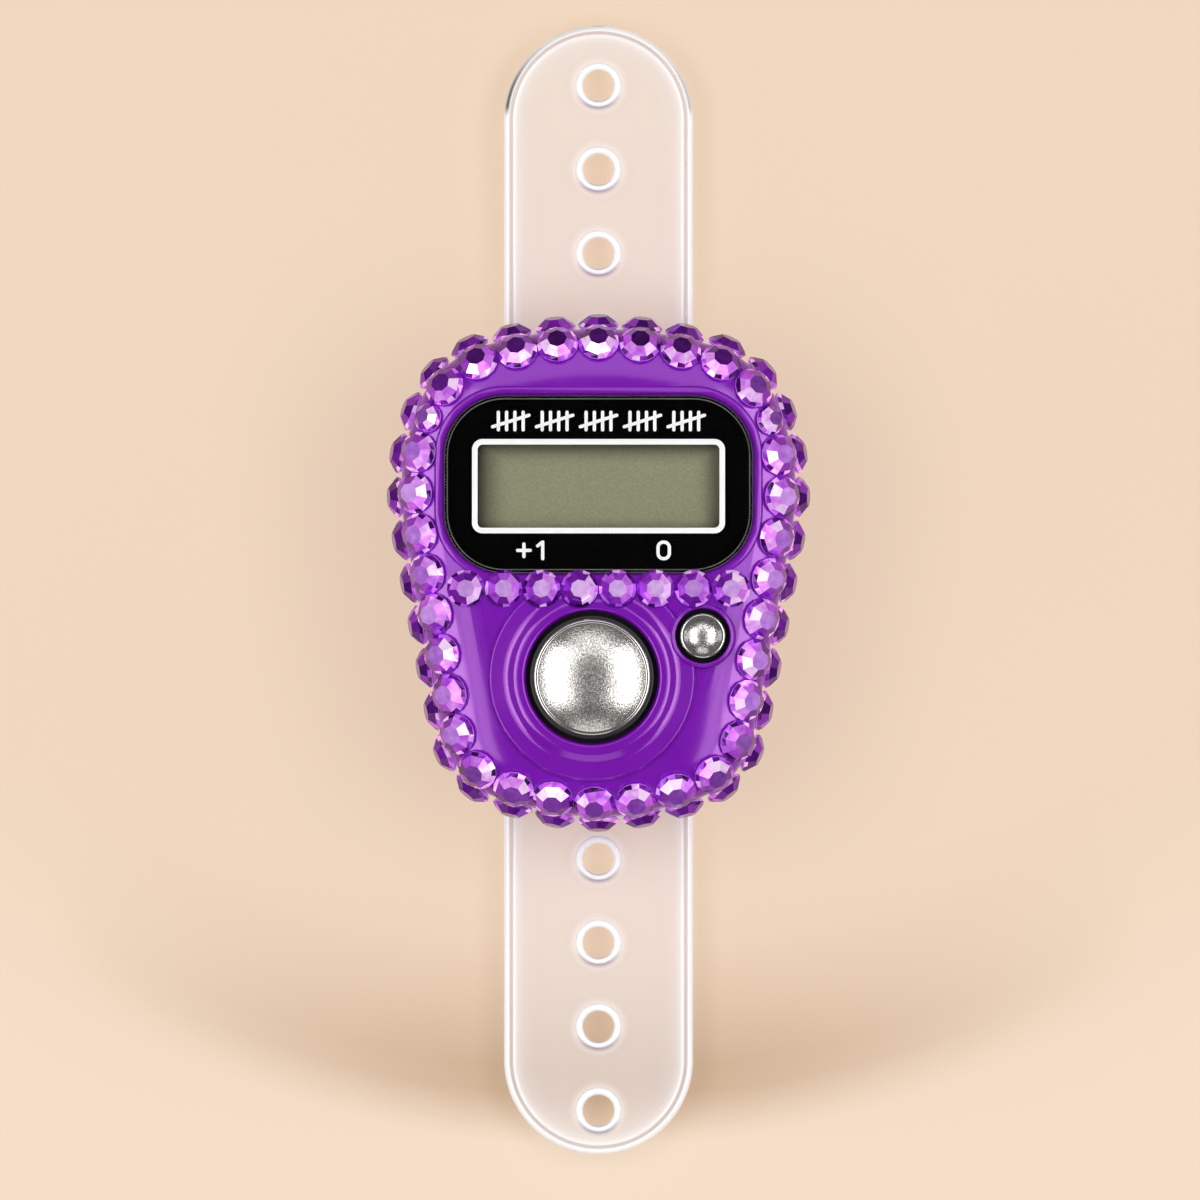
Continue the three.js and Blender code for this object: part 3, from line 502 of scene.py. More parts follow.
def sized_noise(tree, given):
    """Noise on the object's own place, with features as large as the group's Size, in metres."""
    place = tree.nodes.new("ShaderNodeTexCoord")
    scale = tree.nodes.new("ShaderNodeMath")
    scale.operation = "DIVIDE"
    scale.inputs[0].default_value = 1.0
    noise = tree.nodes.new("ShaderNodeTexNoise")
    tree.links.new(given.outputs["Size"], scale.inputs[1])
    tree.links.new(place.outputs["Object"], noise.inputs["Vector"])
    tree.links.new(scale.outputs[0], noise.inputs["Scale"])
    return noise


def grain_group():
    """Fine grain all over a surface, as a mask and as a bumped normal."""
    tree, given, result = new_group(
        "surface_grain",
        (("Size", 0.0002), ("Detail", 2.0), ("Depth", 0.00001)),
        (("Mask", "NodeSocketFloat"), ("Normal", "NodeSocketVector")),
    )
    noise = sized_noise(tree, given)
    bump = tree.nodes.new("ShaderNodeBump")
    links = tree.links
    links.new(given.outputs["Detail"], noise.inputs["Detail"])
    links.new(noise.outputs["Fac"], bump.inputs["Height"])
    links.new(given.outputs["Depth"], bump.inputs["Distance"])
    links.new(noise.outputs["Fac"], result.inputs["Mask"])
    links.new(bump.outputs["Normal"], result.inputs["Normal"])
    return tree


def wear_group():
    """Broad, soft handling marks that change a finish a little from place to place."""
    tree, given, result = new_group(
        "handling_marks",
        (("Size", 0.004), ("Contrast", 0.3)),
        (("Mask", "NodeSocketFloat"),),
    )
    noise = sized_noise(tree, given)
    noise.inputs["Detail"].default_value = 4.0
    steep = tree.nodes.new("ShaderNodeMapRange")
    low = tree.nodes.new("ShaderNodeMath")
    low.operation = "SUBTRACT"
    low.inputs[0].default_value = 0.5
    high = tree.nodes.new("ShaderNodeMath")
    high.operation = "ADD"
    high.inputs[0].default_value = 0.5
    links = tree.links
    links.new(given.outputs["Contrast"], low.inputs[1])
    links.new(given.outputs["Contrast"], high.inputs[1])
    links.new(noise.outputs["Fac"], steep.inputs["Value"])
    links.new(low.outputs[0], steep.inputs["From Min"])
    links.new(high.outputs[0], steep.inputs["From Max"])
    links.new(steep.outputs["Result"], result.inputs["Mask"])
    return tree


GRAIN = grain_group()
MARKS = wear_group()


def plain_finish(name, dark, light, rough, values, grain=(0.0002, 2.0, 0.000004)):
    """A finish whose colour and gloss drift a little, over a grain of (size, detail, depth)."""
    made = Nodes(name)
    made.set(values)
    fine = made.group(GRAIN, Size=grain[0], Detail=grain[1], Depth=grain[2])
    broad = made.marks(0.004, 0.3)
    made.paint("Base Color", made.mix(broad, srgb(*dark), srgb(*light)))
    made.paint("Roughness", made.spread(broad, *rough))
    made.paint("Normal", fine.outputs["Normal"])
    return made.material


def purple_plastic():
    return plain_finish(
        "purple_gloss_plastic", (115, 6, 169), (124, 11, 179), (0.12, 0.17),
        {"IOR": 1.6, "Specular IOR Level": 1.0, "Specular Tint": (1.0, 0.5, 1.0, 1)},
        grain=(0.0012, 2.0, 0.000003),
    )


def stone_finish():
    """Foil-backed acrylic, with light and shade painted on each facet: its colour and a painted glow follow a
    per-facet value of painted light.
    """
    made = Nodes("faceted_purple_stone")
    made.set({
        "Metallic": 0.4, "Specular Tint": (0.95, 0.6, 1.0, 1), "Coat Weight": 0.3, "Coat Roughness": 0.02,
        "Coat IOR": 1.5, "Emission Strength": 0.42,
    })
    # The per-facet attribute holds painted light: 0 for painted shade, 1 for a painted highlight.
    facet_light = made.node("ShaderNodeAttribute", attribute_name="facet_painted_light")
    table = made.node("ShaderNodeAttribute", attribute_name="table_share")
    broad = made.marks(0.0006, 0.22)
    drift = made.spread(broad, -1, 1)
    drifted = made.math("MULTIPLY_ADD", drift, 0.07, facet_light.outputs["Fac"])
    facet = made.ramp(drifted, (
        (0.0, srgb(46, 2, 72)), (0.26, srgb(96, 8, 144)), (0.5, srgb(144, 30, 202)),
        (0.7, srgb(192, 78, 244)), (0.86, srgb(238, 156, 255)), (0.97, srgb(255, 232, 255))))
    glassy = made.ramp(drifted, (
        (0.0, srgb(54, 4, 82)), (0.3, srgb(112, 30, 154)), (0.6, srgb(168, 104, 208)),
        (0.9, srgb(216, 178, 236))))
    # Painted glow: the lit facets glow through the emission, though the stone is no lamp.
    painted_glow = made.ramp(drifted, (
        (0.0, (0, 0, 0, 1)), (0.5, srgb(40, 10, 54)), (0.8, srgb(150, 84, 176)), (0.96, srgb(204, 160, 214))))
    made.paint("Emission Color", painted_glow)
    made.paint("Base Color", made.mix(table.outputs["Fac"], facet, glassy))
    made.paint("Roughness", made.spread(broad, 0.06, 0.12))
    return made.material


def strap_plastic():
    """Milky clear plastic: faint in the middle, whiter along its rounded edges and round its holes, partly
    its own milkiness and partly painted highlight and painted glow, with grey and dark lines of painted
    shade.

    The pattern is read off the strap's own flat map, so it follows the strap when a tail bends."""
    made = Nodes("frosted_clear_strap")
    made.set({"IOR": 1.5, "Specular IOR Level": 0.6, "Emission Strength": 1.0})
    flat = made.node("ShaderNodeUVMap", uv_map=STRAP_MAP)
    parts = made.node("ShaderNodeSeparateXYZ")
    made.link(flat.outputs["UV"], parts.inputs["Vector"])
    x = made.math("ABSOLUTE", made.math("MULTIPLY_ADD", parts.outputs["X"], MAP_SPAN, -MAP_SPAN / 2))
    y = made.math("MULTIPLY_ADD", parts.outputs["Y"], MAP_SPAN, -MAP_SPAN / 2)

    half_width = (STRAP_HIGH.x - STRAP_LOW.x) / 2
    straight = (STRAP_TOP_END - STRAP_BOTTOM_END) / 2 - half_width
    along = made.less(y, (STRAP_TOP_END + STRAP_BOTTOM_END) / 2)
    beyond = made.math("MAXIMUM", made.less(made.math("ABSOLUTE", along), straight), 0)
    out = made.math("SQRT", made.math("MULTIPLY_ADD", x, x, made.times(beyond, beyond)))
    inset = made.less(half_width, out)
    # Cover along the edge: the milky rim in two white bands, partly painted highlight, fading into the field.
    edge = made.over(RIM_SPAN, inset, (
        (0.0, 0.97), (0.14, 0.97), (0.175, 0.54), (0.205, 0.54), (0.25, 0.9), (0.3, 0.8), (0.37, 0.66),
        (0.5, 0.56), (0.7, 0.5), (0.9, 0.46)))
    # Painted shade: a grey line between the two white bands of the rim.
    groove_shade = made.over(RIM_SPAN, inset, (
        (0.0, 0.0), (0.13, 0.0), (0.17, 1.0), (0.21, 1.0), (0.26, 0.0)))

    first_upper = STRAP_TOP_END - UPPER_END_TO_HOLE
    first_lower = STRAP_BOTTOM_END + LOWER_END_TO_HOLE
    upper = made.math("GREATER_THAN", y, 0)
    shift = made.math("MULTIPLY_ADD", upper, first_upper - first_lower, first_lower)
    from_hole = made.math("WRAP", made.less(y, shift), HOLE_PITCH / 2, -HOLE_PITCH / 2)
    reach = made.math("SQRT", made.math("MULTIPLY_ADD", x, x, made.times(from_hole, from_hole)))
    last_upper = first_upper - (TAIL_HOLES - 0.5) * HOLE_PITCH
    last_lower = first_lower + (TAIL_HOLES - 0.5) * HOLE_PITCH
    bare = made.math("COMPARE", y, (last_upper + last_lower) / 2, (last_upper - last_lower) / 2)
    ringed = made.less(1.0, bare)
    # Cover round each hole: the eyelet's white ring, partly painted highlight, and a painted glow fading out
    # round it.
    eyelet = made.times(ringed, made.over(RIM_SPAN, reach, (
        (0.0, 1.0), (0.58, 1.0), (0.61, 0.68), (0.7, 0.57), (0.82, 0.46))))
    # Painted shade under each hole: a grey-lilac band at the ring's lower outer edge and a dark line at its
    # lower inner edge.
    below = made.times(made.spread(from_hole, 1, 0, -1.7, -0.6), ringed)
    rim = made.times(below, made.over(RIM_SPAN, reach, (
        (0.0, 0.0), (0.52, 0.0), (0.58, 1.0), (0.63, 0.8), (0.7, 0.0))))
    lip = made.times(below, made.over(RIM_SPAN, reach, (
        (0.0, 0.9), (0.42, 0.9), (0.44, 0.6), (0.46, 0.0))))
    left = made.spread(parts.outputs["X"], 1.0, 0.45, 0.5 - 1 / MAP_SPAN, 0.5 + 1 / MAP_SPAN)

    # Painted shade: a dark line round the upper end, strongest where the end starts to curve and on the left
    # side.
    dark_start = made.over(half_width, beyond, (
        (0.0, 0.0), (0.05, 0.1), (0.14, 1.0), (0.4, 0.9), (0.62, 0.5), (0.8, 0.28), (1.0, 0.22)))
    end_band = made.over(RIM_SPAN, inset, (
        (0.0, 0.25), (0.025, 0.6), (0.06, 1.0), (0.1, 0.85), (0.14, 0.0)))
    end_painted_shade = made.times(made.times(made.times(dark_start, end_band), upper), left)

    side = made.node("ShaderNodeNewGeometry")
    front = made.less(1.0, side.outputs["Backfacing"])
    cover = made.math("MAXIMUM", edge, eyelet)
    made.paint("Alpha", made.times(cover, front))
    fine = made.group(GRAIN, Size=0.0004, Detail=2.0, Depth=0.000002)
    whiter = made.spread(cover, 0, 1, 0.52, 0.92)
    body = made.mix(whiter, srgb(250, 242, 241), srgb(255, 255, 255))
    grooved = made.mix(groove_shade, body, srgb(216, 204, 206))
    shaded = made.mix(rim, grooved, srgb(190, 180, 196))
    lipped = made.mix(lip, shaded, srgb(120, 114, 122))
    made.paint("Base Color", made.mix(end_painted_shade, lipped, srgb(58, 50, 60)))
    shadow = made.math("MAXIMUM", made.math("MAXIMUM", rim, lip), made.math("MAXIMUM", end_painted_shade, groove_shade))
    # Painted glow from the white parts, through the emission, kept off the painted shade.
    glow = made.times(made.spread(whiter, 0.02, 0.1), made.less(1.0, shadow))
    made.paint("Emission Color", made.mix(glow, (0, 0, 0, 1), (1, 1, 1, 1)))
    made.paint("Roughness", made.spread(fine.outputs["Mask"], 0.14, 0.2))
    made.paint("Normal", fine.outputs["Normal"])
    return made.material


def clear_lens():
    made = Nodes("clear_acrylic")
    made.set({"Base Color": (1, 1, 1, 1), "Transmission Weight": 1.0, "IOR": 1.15, "Roughness": 0.0})
    return made.material


def thin_glass():
    made = Nodes("thin_display_glass")
    made.set({"Base Color": srgb(232, 240, 232), "Transmission Weight": 1.0, "IOR": 1.5, "Roughness": 0.02})
    return made.material


def black_print():
    return plain_finish(
        "black_gloss_print", (2, 2, 2), (4, 4, 5), (0.3, 0.36),
        {"IOR": 1.5, "Specular IOR Level": 0.0}, grain=(0.0004, 2.0, 0.000001))


def white_print_with_glow():
    # White ink with a faint painted glow, so that it stays white under the lens.
    return plain_finish(
        "white_print_with_glow", (252, 252, 252), (255, 255, 255), (0.4, 0.5),
        {"IOR": 1.45, "Emission Color": (1, 1, 1, 1), "Emission Strength": 0.12},
        grain=(0.0001, 2.0, 0.000001))


def display_film():
    """The grey-green film behind the glass, darker along the edges that the mask shades."""
    made = Nodes("display_film")
    made.set({"IOR": 1.5, "Specular IOR Level": 0.2})
    fine = made.group(GRAIN, Size=0.00012, Detail=1.0, Depth=0.000002)
    broad = made.marks(0.008, 0.4)
    base = made.mix(broad, srgb(150, 152, 120), srgb(155, 157, 125))
    speckle = made.mix(
        made.spread(fine.outputs["Mask"], 0.0, 0.35, 0.35, 0.65), base, srgb(112, 114, 88))
    x, y = made.place()[:2]
    across = made.less(made.math("ABSOLUTE", made.less(x, 0.3)), VIEW[0] / 2)
    upward = made.less(made.less(y, VIEW_Y), VIEW[1] / 2)
    shade = made.math("MAXIMUM", made.spread(across, 0, 1, -2.4, 0.3), made.spread(upward, 0, 1, -1.7, 0.1))
    made.paint("Base Color", made.mix(made.math("POWER", shade, 1.5), speckle, srgb(74, 72, 54)))
    made.paint("Roughness", made.spread(broad, 0.42, 0.5))
    made.paint("Normal", fine.outputs["Normal"])
    return made.material


def satin_silver(name, centre, across):
    """Sandblasted metal with a rim polished bright, round an upright axis."""
    made = Nodes(name)
    made.set({"Metallic": 1.0})
    fine = made.group(GRAIN, Size=0.00014, Detail=3.0, Depth=0.000014)
    rim = made.spread(made.distance(centre), 0.0, 1.0, (across / 2 - 0.42) / 1000, (across / 2 - 0.3) / 1000)
    blasted = made.mix(
        made.spread(fine.outputs["Mask"], 0.0, 1.0, 0.36, 0.64), srgb(164, 159, 153), srgb(250, 247, 244))
    made.paint("Base Color", made.mix(rim, blasted, srgb(232, 228, 224)))
    made.paint("Roughness", made.spread(rim, 0.24, 0.1))
    flat = made.node("ShaderNodeNewGeometry")
    made.paint("Normal", made.mix(rim, fine.outputs["Normal"], flat.outputs["Normal"]))
    return made.material


def circuit_board():
    made = Nodes("green_board")
    made.set({"IOR": 1.5, "Roughness": 0.35})
    place = made.node("ShaderNodeTexCoord")
    cells = made.node("ShaderNodeTexVoronoi", distance="CHEBYCHEV", feature="F1")
    cells.inputs["Scale"].default_value = 420
    made.link(place.outputs["Object"], cells.inputs["Vector"])
    lines = made.spread(cells.outputs["Distance"], 0.0, 1.0, 0.38, 0.42)
    fine = made.group(GRAIN, Size=0.0003, Detail=2.0, Depth=0.000004)
    made.paint("Base Color", made.mix(lines, srgb(24, 92, 52), srgb(40, 122, 70)))
    made.paint("Normal", fine.outputs["Normal"])
    return made.material


PURPLE = purple_plastic()
STONE_FINISH = stone_finish()
STRAP = strap_plastic()
LENS = clear_lens()
GLASS = thin_glass()
BLACK_PRINT = black_print()
GLOWING_WHITE_PRINT = white_print_with_glow()
# Painted highlight: a fine grey line that stands for the light on the lens's edge, laid like print round the
# mask.
GREY_EDGE_HIGHLIGHT = plain_finish(
    "painted_edge_highlight", (96, 92, 94), (120, 116, 118), (0.4, 0.5), {"IOR": 1.45},
    grain=(0.0001, 2.0, 0.000001))
FILM = display_film()
COUNT_SILVER = satin_silver("count_cap_silver", COUNT_PLACE, 9.3)
RESET_SILVER = satin_silver("reset_cap_silver", RESET_PLACE, 3.6)
BLACK_PLASTIC = plain_finish(
    "black_satin_plastic", (9, 9, 10), (16, 16, 17), (0.3, 0.42), {"IOR": 1.5},
    grain=(0.00025, 2.0, 0.000008))
STEEL = plain_finish(
    "plated_steel", (176, 178, 181), (196, 198, 200), (0.22, 0.32), {"Metallic": 1.0})
RUBBER = plain_finish(
    "grey_silicone", (150, 150, 146), (164, 164, 160), (0.55, 0.68),
    {"IOR": 1.42, "Sheen Weight": 0.1})
CARBON = plain_finish("carbon_rubber", (16, 16, 17), (24, 24, 25), (0.8, 0.9), {"IOR": 1.4})
CERAMIC = plain_finish("ceramic_chip", (132, 100, 70), (150, 116, 84), (0.5, 0.6), {"IOR": 1.5})
BRASS = plain_finish(
    "spring_brass", (190, 150, 74), (208, 168, 92), (0.25, 0.36), {"Metallic": 1.0})
BOARD = circuit_board()

# Case


def shoulder():
    """The crowned edge of the front cover as (inset, height), from its wall up to the flat face."""
    section = []
    steps = 14
    for k in range(steps + 1):
        share = math.cos(math.pi / 2 * k / steps)
        drop = 1 - (1 - share ** CROWN_POWER) ** (1 / CROWN_POWER)
        section.append((CROWN_REACH * (1 - share), FACE - SHOULDER_DEPTH * drop))
    return section


def button_surround(name, place, section):
    """The raised disc round a button, from its section of corners (radius, height, rounding)."""
    return turned_corners(name, [(r, z + FACE, rounding) for r, z, rounding in section], place, 128, step=15)


def divider_places():
    """Each stone of the row under the window, as its node's name and its middle."""
    return [(name, middle_of(name)) for name in sorted(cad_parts) if name.startswith("divider_stone")]


def front_cover():
    wall = [(case_outline(PARTING_CHAMFER), PARTING), (case_outline(), PARTING + PARTING_CHAMFER)]
    crown = [(case_outline(inset), height) for inset, height in shoulder()]
    cover = loft("front_cover_shell", wall + crown)
    cove = [(case_outline(SIDE_WALL + reach), CEILING - drop) for reach, drop in COVE]
    cut(cover, loft("cavity", [(case_outline(SIDE_WALL), PARTING - 1)] + cove))
    add(cover, prism("ledge", rounded_rectangle(LEDGE, WINDOW_Y), MASK_LOW.z - LEDGE_DROP, FACE + FACE_ROOT))
    count_disc = button_surround("count_disc", COUNT_PLACE, [
        (0, FACE_ROOT, 0), (8.3, FACE_ROOT, 0), (8.3, 0.12, 0.1), (8.12, 0.35, 0.16),
        (6.85, 0.38, 1.0), (6.15, 0.8, 0.7), (5.45, 0.82, 0.2), (5.27, 0.4, 0), (5.2, 0.2, 0), (0, 0.2, 0),
    ])
    reset_disc = button_surround("reset_disc", RESET_PLACE, [
        (0, FACE_ROOT, 0), (2.65, FACE_ROOT, 0), (2.65, 0.1, 0), (2.5, 0.65, 0.22),
        (2.2, 0.65, 0.16), (2.1, 0.2, 0), (0, 0.2, 0),
    ])
    places = [place for _, place in divider_places()]
    divider_y = places[0].y
    clear_way = [prism("clear_way", [(-20, divider_y), (20, divider_y), (20, 30), (-20, 30)], FACE, FACE + 3)]
    seat = hole_section(DIVIDER_STONE + 0.2, FACE, FACE + 3)
    clear_way += [turned("seat", seat, place, 32) for place in places]
    discs = add(count_disc, reset_disc)
    cut(discs, *clear_way, crossing=True)
    add(cover, discs)
    bezel = loft("bezel", [
        (window_outline(-reach), FACE + rise)
        for reach, rise in ((0.62, -0.6), (0.6, -0.2), (0.56, -0.1), (0.48, -0.03), (0.38, 0))])
    add(cover, bezel)
    pocket = loft("pocket", [
        (window_outline(-reach), height)
        for reach, height in ((0, MASK_LOW.z), (0, FACE - 0.1), (0.1, FACE), (0.1, FACE + 2))])
    opening = prism("opening", view_outline(-GAP), MASK_LOW.z - 3, MASK_LOW.z + 0.5)
    count_hole = turned("count_hole", hole_section(COUNT_HOLE, CEILING - 1, FACE + 3), COUNT_PLACE, 128)
    reset_hole = turned("reset_hole", hole_section(RESET_HOLE, CEILING - 1, FACE + 3), RESET_PLACE)
    cut(cover, pocket)
    cut(cover, opening, count_hole, reset_hole)
    return finish(cover, PURPLE, "case", ["front_cover"], smooth=35)


def hole_section(across, low, high):
    return [(0, low), (across / 2, low), (across / 2, high), (0, high)]


def rear_cover():
    edge = []
    for k in range(9):
        angle = math.pi / 2 * k / 8
        edge.append((BACK_EDGE * (1 - math.sin(angle)), BACK + BACK_EDGE * (1 - math.cos(angle))))
    edge += [(0, PARTING - PARTING_CHAMFER), (PARTING_CHAMFER, PARTING)]
    cover = loft("rear_cover_shell", [(case_outline(inset), height) for inset, height in edge])
    cut(cover, loft("cavity", [(case_outline(SIDE_WALL), FLOOR), (case_outline(SIDE_WALL), PARTING + 1)]))
    half = (STRAP_HIGH.x - STRAP_LOW.x) / 2 + GAP
    keepers = []
    channels = []
    for y in KEEPERS:
        outer = (2 * (half + KEEPER_LEG), KEEPER_WIDTH, 0.35)
        keepers.append(loft("keeper", [
            (rounded_rectangle(outer, y, inset), height)
            for inset, height in ((0.2, 0), (0.06, 0.06), (0, 0.2), (0, FLOOR_ROOT))]))
        channels.append(prism(
            "channel", [(-half, y - 2), (half, y - 2), (half, y + 2), (-half, y + 2)],
            STRAP_LOW.z - GAP, BACK))
    keeper_pair = cut(join("keepers", keepers), *channels)
    stem = STRAP_HOLE / 2 - GAP
    head_top = STRAP_LOW.z - GAP
    corners = [(0, head_top - 0.7, 0), (1.25, head_top - 0.7, 0.3), (PEG_HEAD, head_top - 0.2, 0.2),
               (PEG_HEAD, head_top, 0.05), (stem, head_top, 0), (stem, FLOOR_ROOT, 0), (0, FLOOR_ROOT, 0)]
    pegs = [turned_corners("peg", corners, (0, y), 48, step=20) for y in PEGS]
    add(cover, keeper_pair, *pegs)
    places = [middle_of(f"case_screw_{k}") for k in range(1, 5)]
    bore, boss = SCREW_BORE / 2, SCREW_BOSS / 2
    ring = [(bore, FLOOR_ROOT), (boss, FLOOR_ROOT), (boss, PARTING), (bore, PARTING), (bore, FLOOR_ROOT)]
    well = hole_section(SCREW_WELL, BACK - 1, BACK + SCREW_WELL_DEPTH)
    add(cover, *[turned("boss", ring, place, 32, hollow=True) for place in places])
    holes = [turned("well", well, place, 48) for place in places]
    door = middle_of("battery_door")
    reach = (DOOR_HIGH.x - DOOR_LOW.x) / 2 + GAP
    bar = turned_bar(reach, LUG_WIDTH / 2 + GAP, DOOR_NOTCH_ANGLE, door)
    holes.append(turned("door_hole", hole_section(2 * DOOR_RADIUS + 2 * GAP, BACK - 1, FLOOR + 1), door, 96))
    holes.append(prism("notch", bar, BACK - 1, FLOOR + 1))
    for hole in holes:
        cut(cover, hole)
    return finish(cover, PURPLE, "case", ["rear_cover"], smooth=35)


def turned_bar(reach, half, degrees, centre):
    """The outline of a straight bar across a centre, turned about it."""
    corners = [(reach, -half), (reach, half), (-reach, half), (-reach, -half)]
    angle = math.radians(degrees)
    return [(centre[0] + x * math.cos(angle) - y * math.sin(angle),
             centre[1] + x * math.sin(angle) + y * math.cos(angle)) for x, y in corners]


def battery_door():
    door = middle_of("battery_door")
    outer, inner = DOOR_LIP
    lip = FLOOR + DOOR_LIP_HEIGHT
    corners = [(0, BACK, 0), (DOOR_RADIUS, BACK, 0.25), (DOOR_RADIUS, FLOOR, 0.1), (outer, FLOOR, 0),
               (outer, lip, 0.1), (inner, lip, 0.1), (inner, FLOOR, 0), (0, FLOOR, 0)]
    cover = turned_corners("battery_door_cap", corners, door, 128, step=18)
    reach = (DOOR_HIGH.x - DOOR_LOW.x) / 2
    half = LUG_WIDTH / 2
    lugs = []
    for side in (1, -1):
        points = [(door.x + side * x, door.y + y)
                  for x, y in ((LUG_ROOT, -half), (reach, -half), (reach, half), (LUG_ROOT, half))]
        lugs.append(prism("lug", points[::side], FLOOR + GAP, lip))
    add(cover, *lugs)
    levels = (
        (COIN_SLOT, -0.05, -1), (COIN_SLOT, 0, 0.02), (COIN_SLOT_FLOOR, 0, 0.2), (COIN_SLOT_FLOOR, 0.05, 0.7))
    cut(cover, loft("slot", [
        (rounded_rectangle(shape, door.y, inset), BACK + rise) for shape, inset, rise in levels]))
    return finish(cover, PURPLE, "battery_cover", ["battery_door"], smooth=35)


# Stones


def stone(diameter, height):
    """A cut stone on its flat back: a thin girdle, small facets above it, eight large ones and a table."""
    sides = 16

    def octagon(radius):
        inner = radius * math.cos(math.pi / 8)
        angles = [2 * math.pi * k / sides for k in range(sides)]
        return [Vector((math.cos(a), math.sin(a))) * (radius if k % 2 else inner)
                for k, a in enumerate(angles)]

    cut_stone = loft("stone", [
        (circle(0.46 * diameter, sides=sides), 0),
        (circle(0.49 * diameter, sides=sides), 0.12 * height),
        (circle(0.5 * diameter, sides=sides), 0.26 * height),
        (octagon(0.44 * diameter), 0.5 * height),
        (octagon(0.24 * diameter), height),
    ])
    for layer in ("facet_painted_light", "table_share"):
        cut_stone.data.attributes.new(layer, "FLOAT", "FACE")
    return cut_stone


def paint_facet_light(mesh, chance, bright, table, least=0.12):
    """Paints light and shade on each facet of an upright stone, from 0 to 1: on the upper facets a painted
    highlight on its bright side and painted shade on the far side, at random on the lower ones, and the given
    painted light on the table.
    """
    facet_lights = {}
    top = max(vertex.co.z for vertex in mesh.vertices)
    values = mesh.attributes["facet_painted_light"].data
    tables = mesh.attributes["table_share"].data
    # Blender makes the faces in no fixed order, so they are taken by height and then round the stone
    facets = sorted(mesh.polygons, key=lambda face: (
        round(face.center.z, 2), round(math.degrees(math.atan2(face.center.y, face.center.x)))))
    for face in facets:
        across = face.normal.xy
        if face.normal.z > 0.95:
            facet_light = table + chance.uniform(-0.08, 0.08)
            tables[face.index].value = 1
        elif face.center.z > 0.6 * top:
            side = across.normalized().dot(bright)
            low, high = (0.74, 1.0) if side > 0.3 else (0.36, 0.7) if side > -0.3 else (least, least + 0.35)
            facet_light = chance.uniform(low, high)
        elif face.center.z > 0.3 * top:
            facet_light = chance.choice((0.08, 0.3, 0.52, 0.74, 0.9))
        else:
            facet_light = 0.84
        facing = tuple(round(part, 2) for part in face.normal)
        values[face.index].value = facet_lights.setdefault(facing, facet_light)


def walk(points, distance):
    """Where a walk along a line comes to after a distance, and the way that its right side faces."""
    for here, there in zip(points, points[1:]):
        run = there - here
        if distance <= run.length:
            break
        distance -= run.length
    place = here + run.normalized() * distance
    return place.x, place.y, math.atan2(-run.x, run.y)


def half_line(inset):
    """The right half of the case's outline, from its top down to its bottom."""
    points = case_outline(inset)
    right = [p for p in points if p.x > 1e-6]
    top = max(points, key=lambda p: p.y)
    bottom = min(points, key=lambda p: p.y)
    right.sort(key=lambda p: math.atan2(p.x, p.y))
    return [Vector((0, top.y))] + right + [Vector((0, bottom.y))]


def length_of(points):
    return sum((there - here).length for here, there in zip(points, points[1:]))


def front_ring_places():
    """Each stone of the ring on the shoulder as (x, y, facing, diameter)."""
    line = half_line(STONE_SEAT_INSET)
    size = [SMALL_STONE if k == SMALL_STONE_PLACE else STONE for k in range(RING_SIDE_STONES + 2)]
    steps = [(size[k] + size[k + 1]) / 2 for k in range(RING_SIDE_STONES + 1)]
    places = [(0, line[0].y, math.pi / 2, STONE), (-BOTTOM_STONE_SHIFT, line[-1].y, -math.pi / 2, STONE)]
    for side in (1, -1):
        spread = (length_of(line) + side * BOTTOM_STONE_SHIFT) / sum(steps)
        distance = 0
        for k in range(RING_SIDE_STONES):
            distance += steps[k] * spread
            x, y, facing = walk(line, distance)
            facing += math.pi
            places.append((side * x, y, facing if side > 0 else math.pi - facing, size[k + 1]))
    return places


def side_ring_places():
    line = half_line(-SIDE_RING_OFFSET)
    half = SIDE_RING_STONES // 2
    pitch = length_of(line) / half
    places = [(0, line[0].y, math.pi / 2, STONE), (0, line[-1].y, -math.pi / 2, STONE)]
    for k in range(1, half):
        x, y, facing = walk(line, k * pitch)
        facing += math.pi
        places.append((x, y, facing, STONE))
        places.append((-x, y, math.pi - facing, STONE))
    return places


def stone_ring(name, node, places, height, tilt, stone_height, bright_side, painted_table_light, seed):
    chance = random.Random(seed)
    stones = {size: stone(size, stone_height) for size in sorted({place[3] for place in places})}
    copies = []
    for x, y, facing, size in places:
        copy = copy_of(stones[size])
        copy.data.transform(Matrix.Rotation(chance.uniform(0, math.pi / 4), 4, "Z"))
        outward = Vector((math.cos(facing), math.sin(facing)))
        # Painted light on each stone's table: dark on the stones along the top, light at the sides and
        # between at the bottom.
        table = 0.72 - 0.62 * max(0, outward.y) + 0.42 * min(0, outward.y)
        paint_facet_light(copy.data, chance, Vector((bright_side, 0)), table * painted_table_light)
        lean = Matrix.Rotation(tilt, 4, "Y")
        aim = Matrix.Rotation(facing, 4, "Z")
        copy.data.transform(Matrix.Translation((x, y, height)) @ aim @ lean)
        copies.append(copy)
    for original in stones.values():
        bpy.data.objects.remove(original)
    ring = join(name, copies)
    return finish(ring, STONE_FINISH, "case", [node], smooth=0)


def divider_stones():
    chance = random.Random(5)
    for name, place in divider_places():
        piece = stone(DIVIDER_STONE, STONE_HEIGHT)
        piece.data.transform(Matrix.Rotation(chance.uniform(0, math.pi / 4), 4, "Z"))
        # Painted highlight on each divider stone's right side, with lighter painted shade on its left than on
        # the rings.
        paint_facet_light(piece.data, chance, Vector((1, 0)), 0.84, least=0.4)
        piece.data.transform(Matrix.Translation((place.x, place.y, FACE + 0.01)))
        piece.name = piece.data.name = f"{name}_cut"
        finish(piece, STONE_FINISH, "case", [name], smooth=0)


# Display


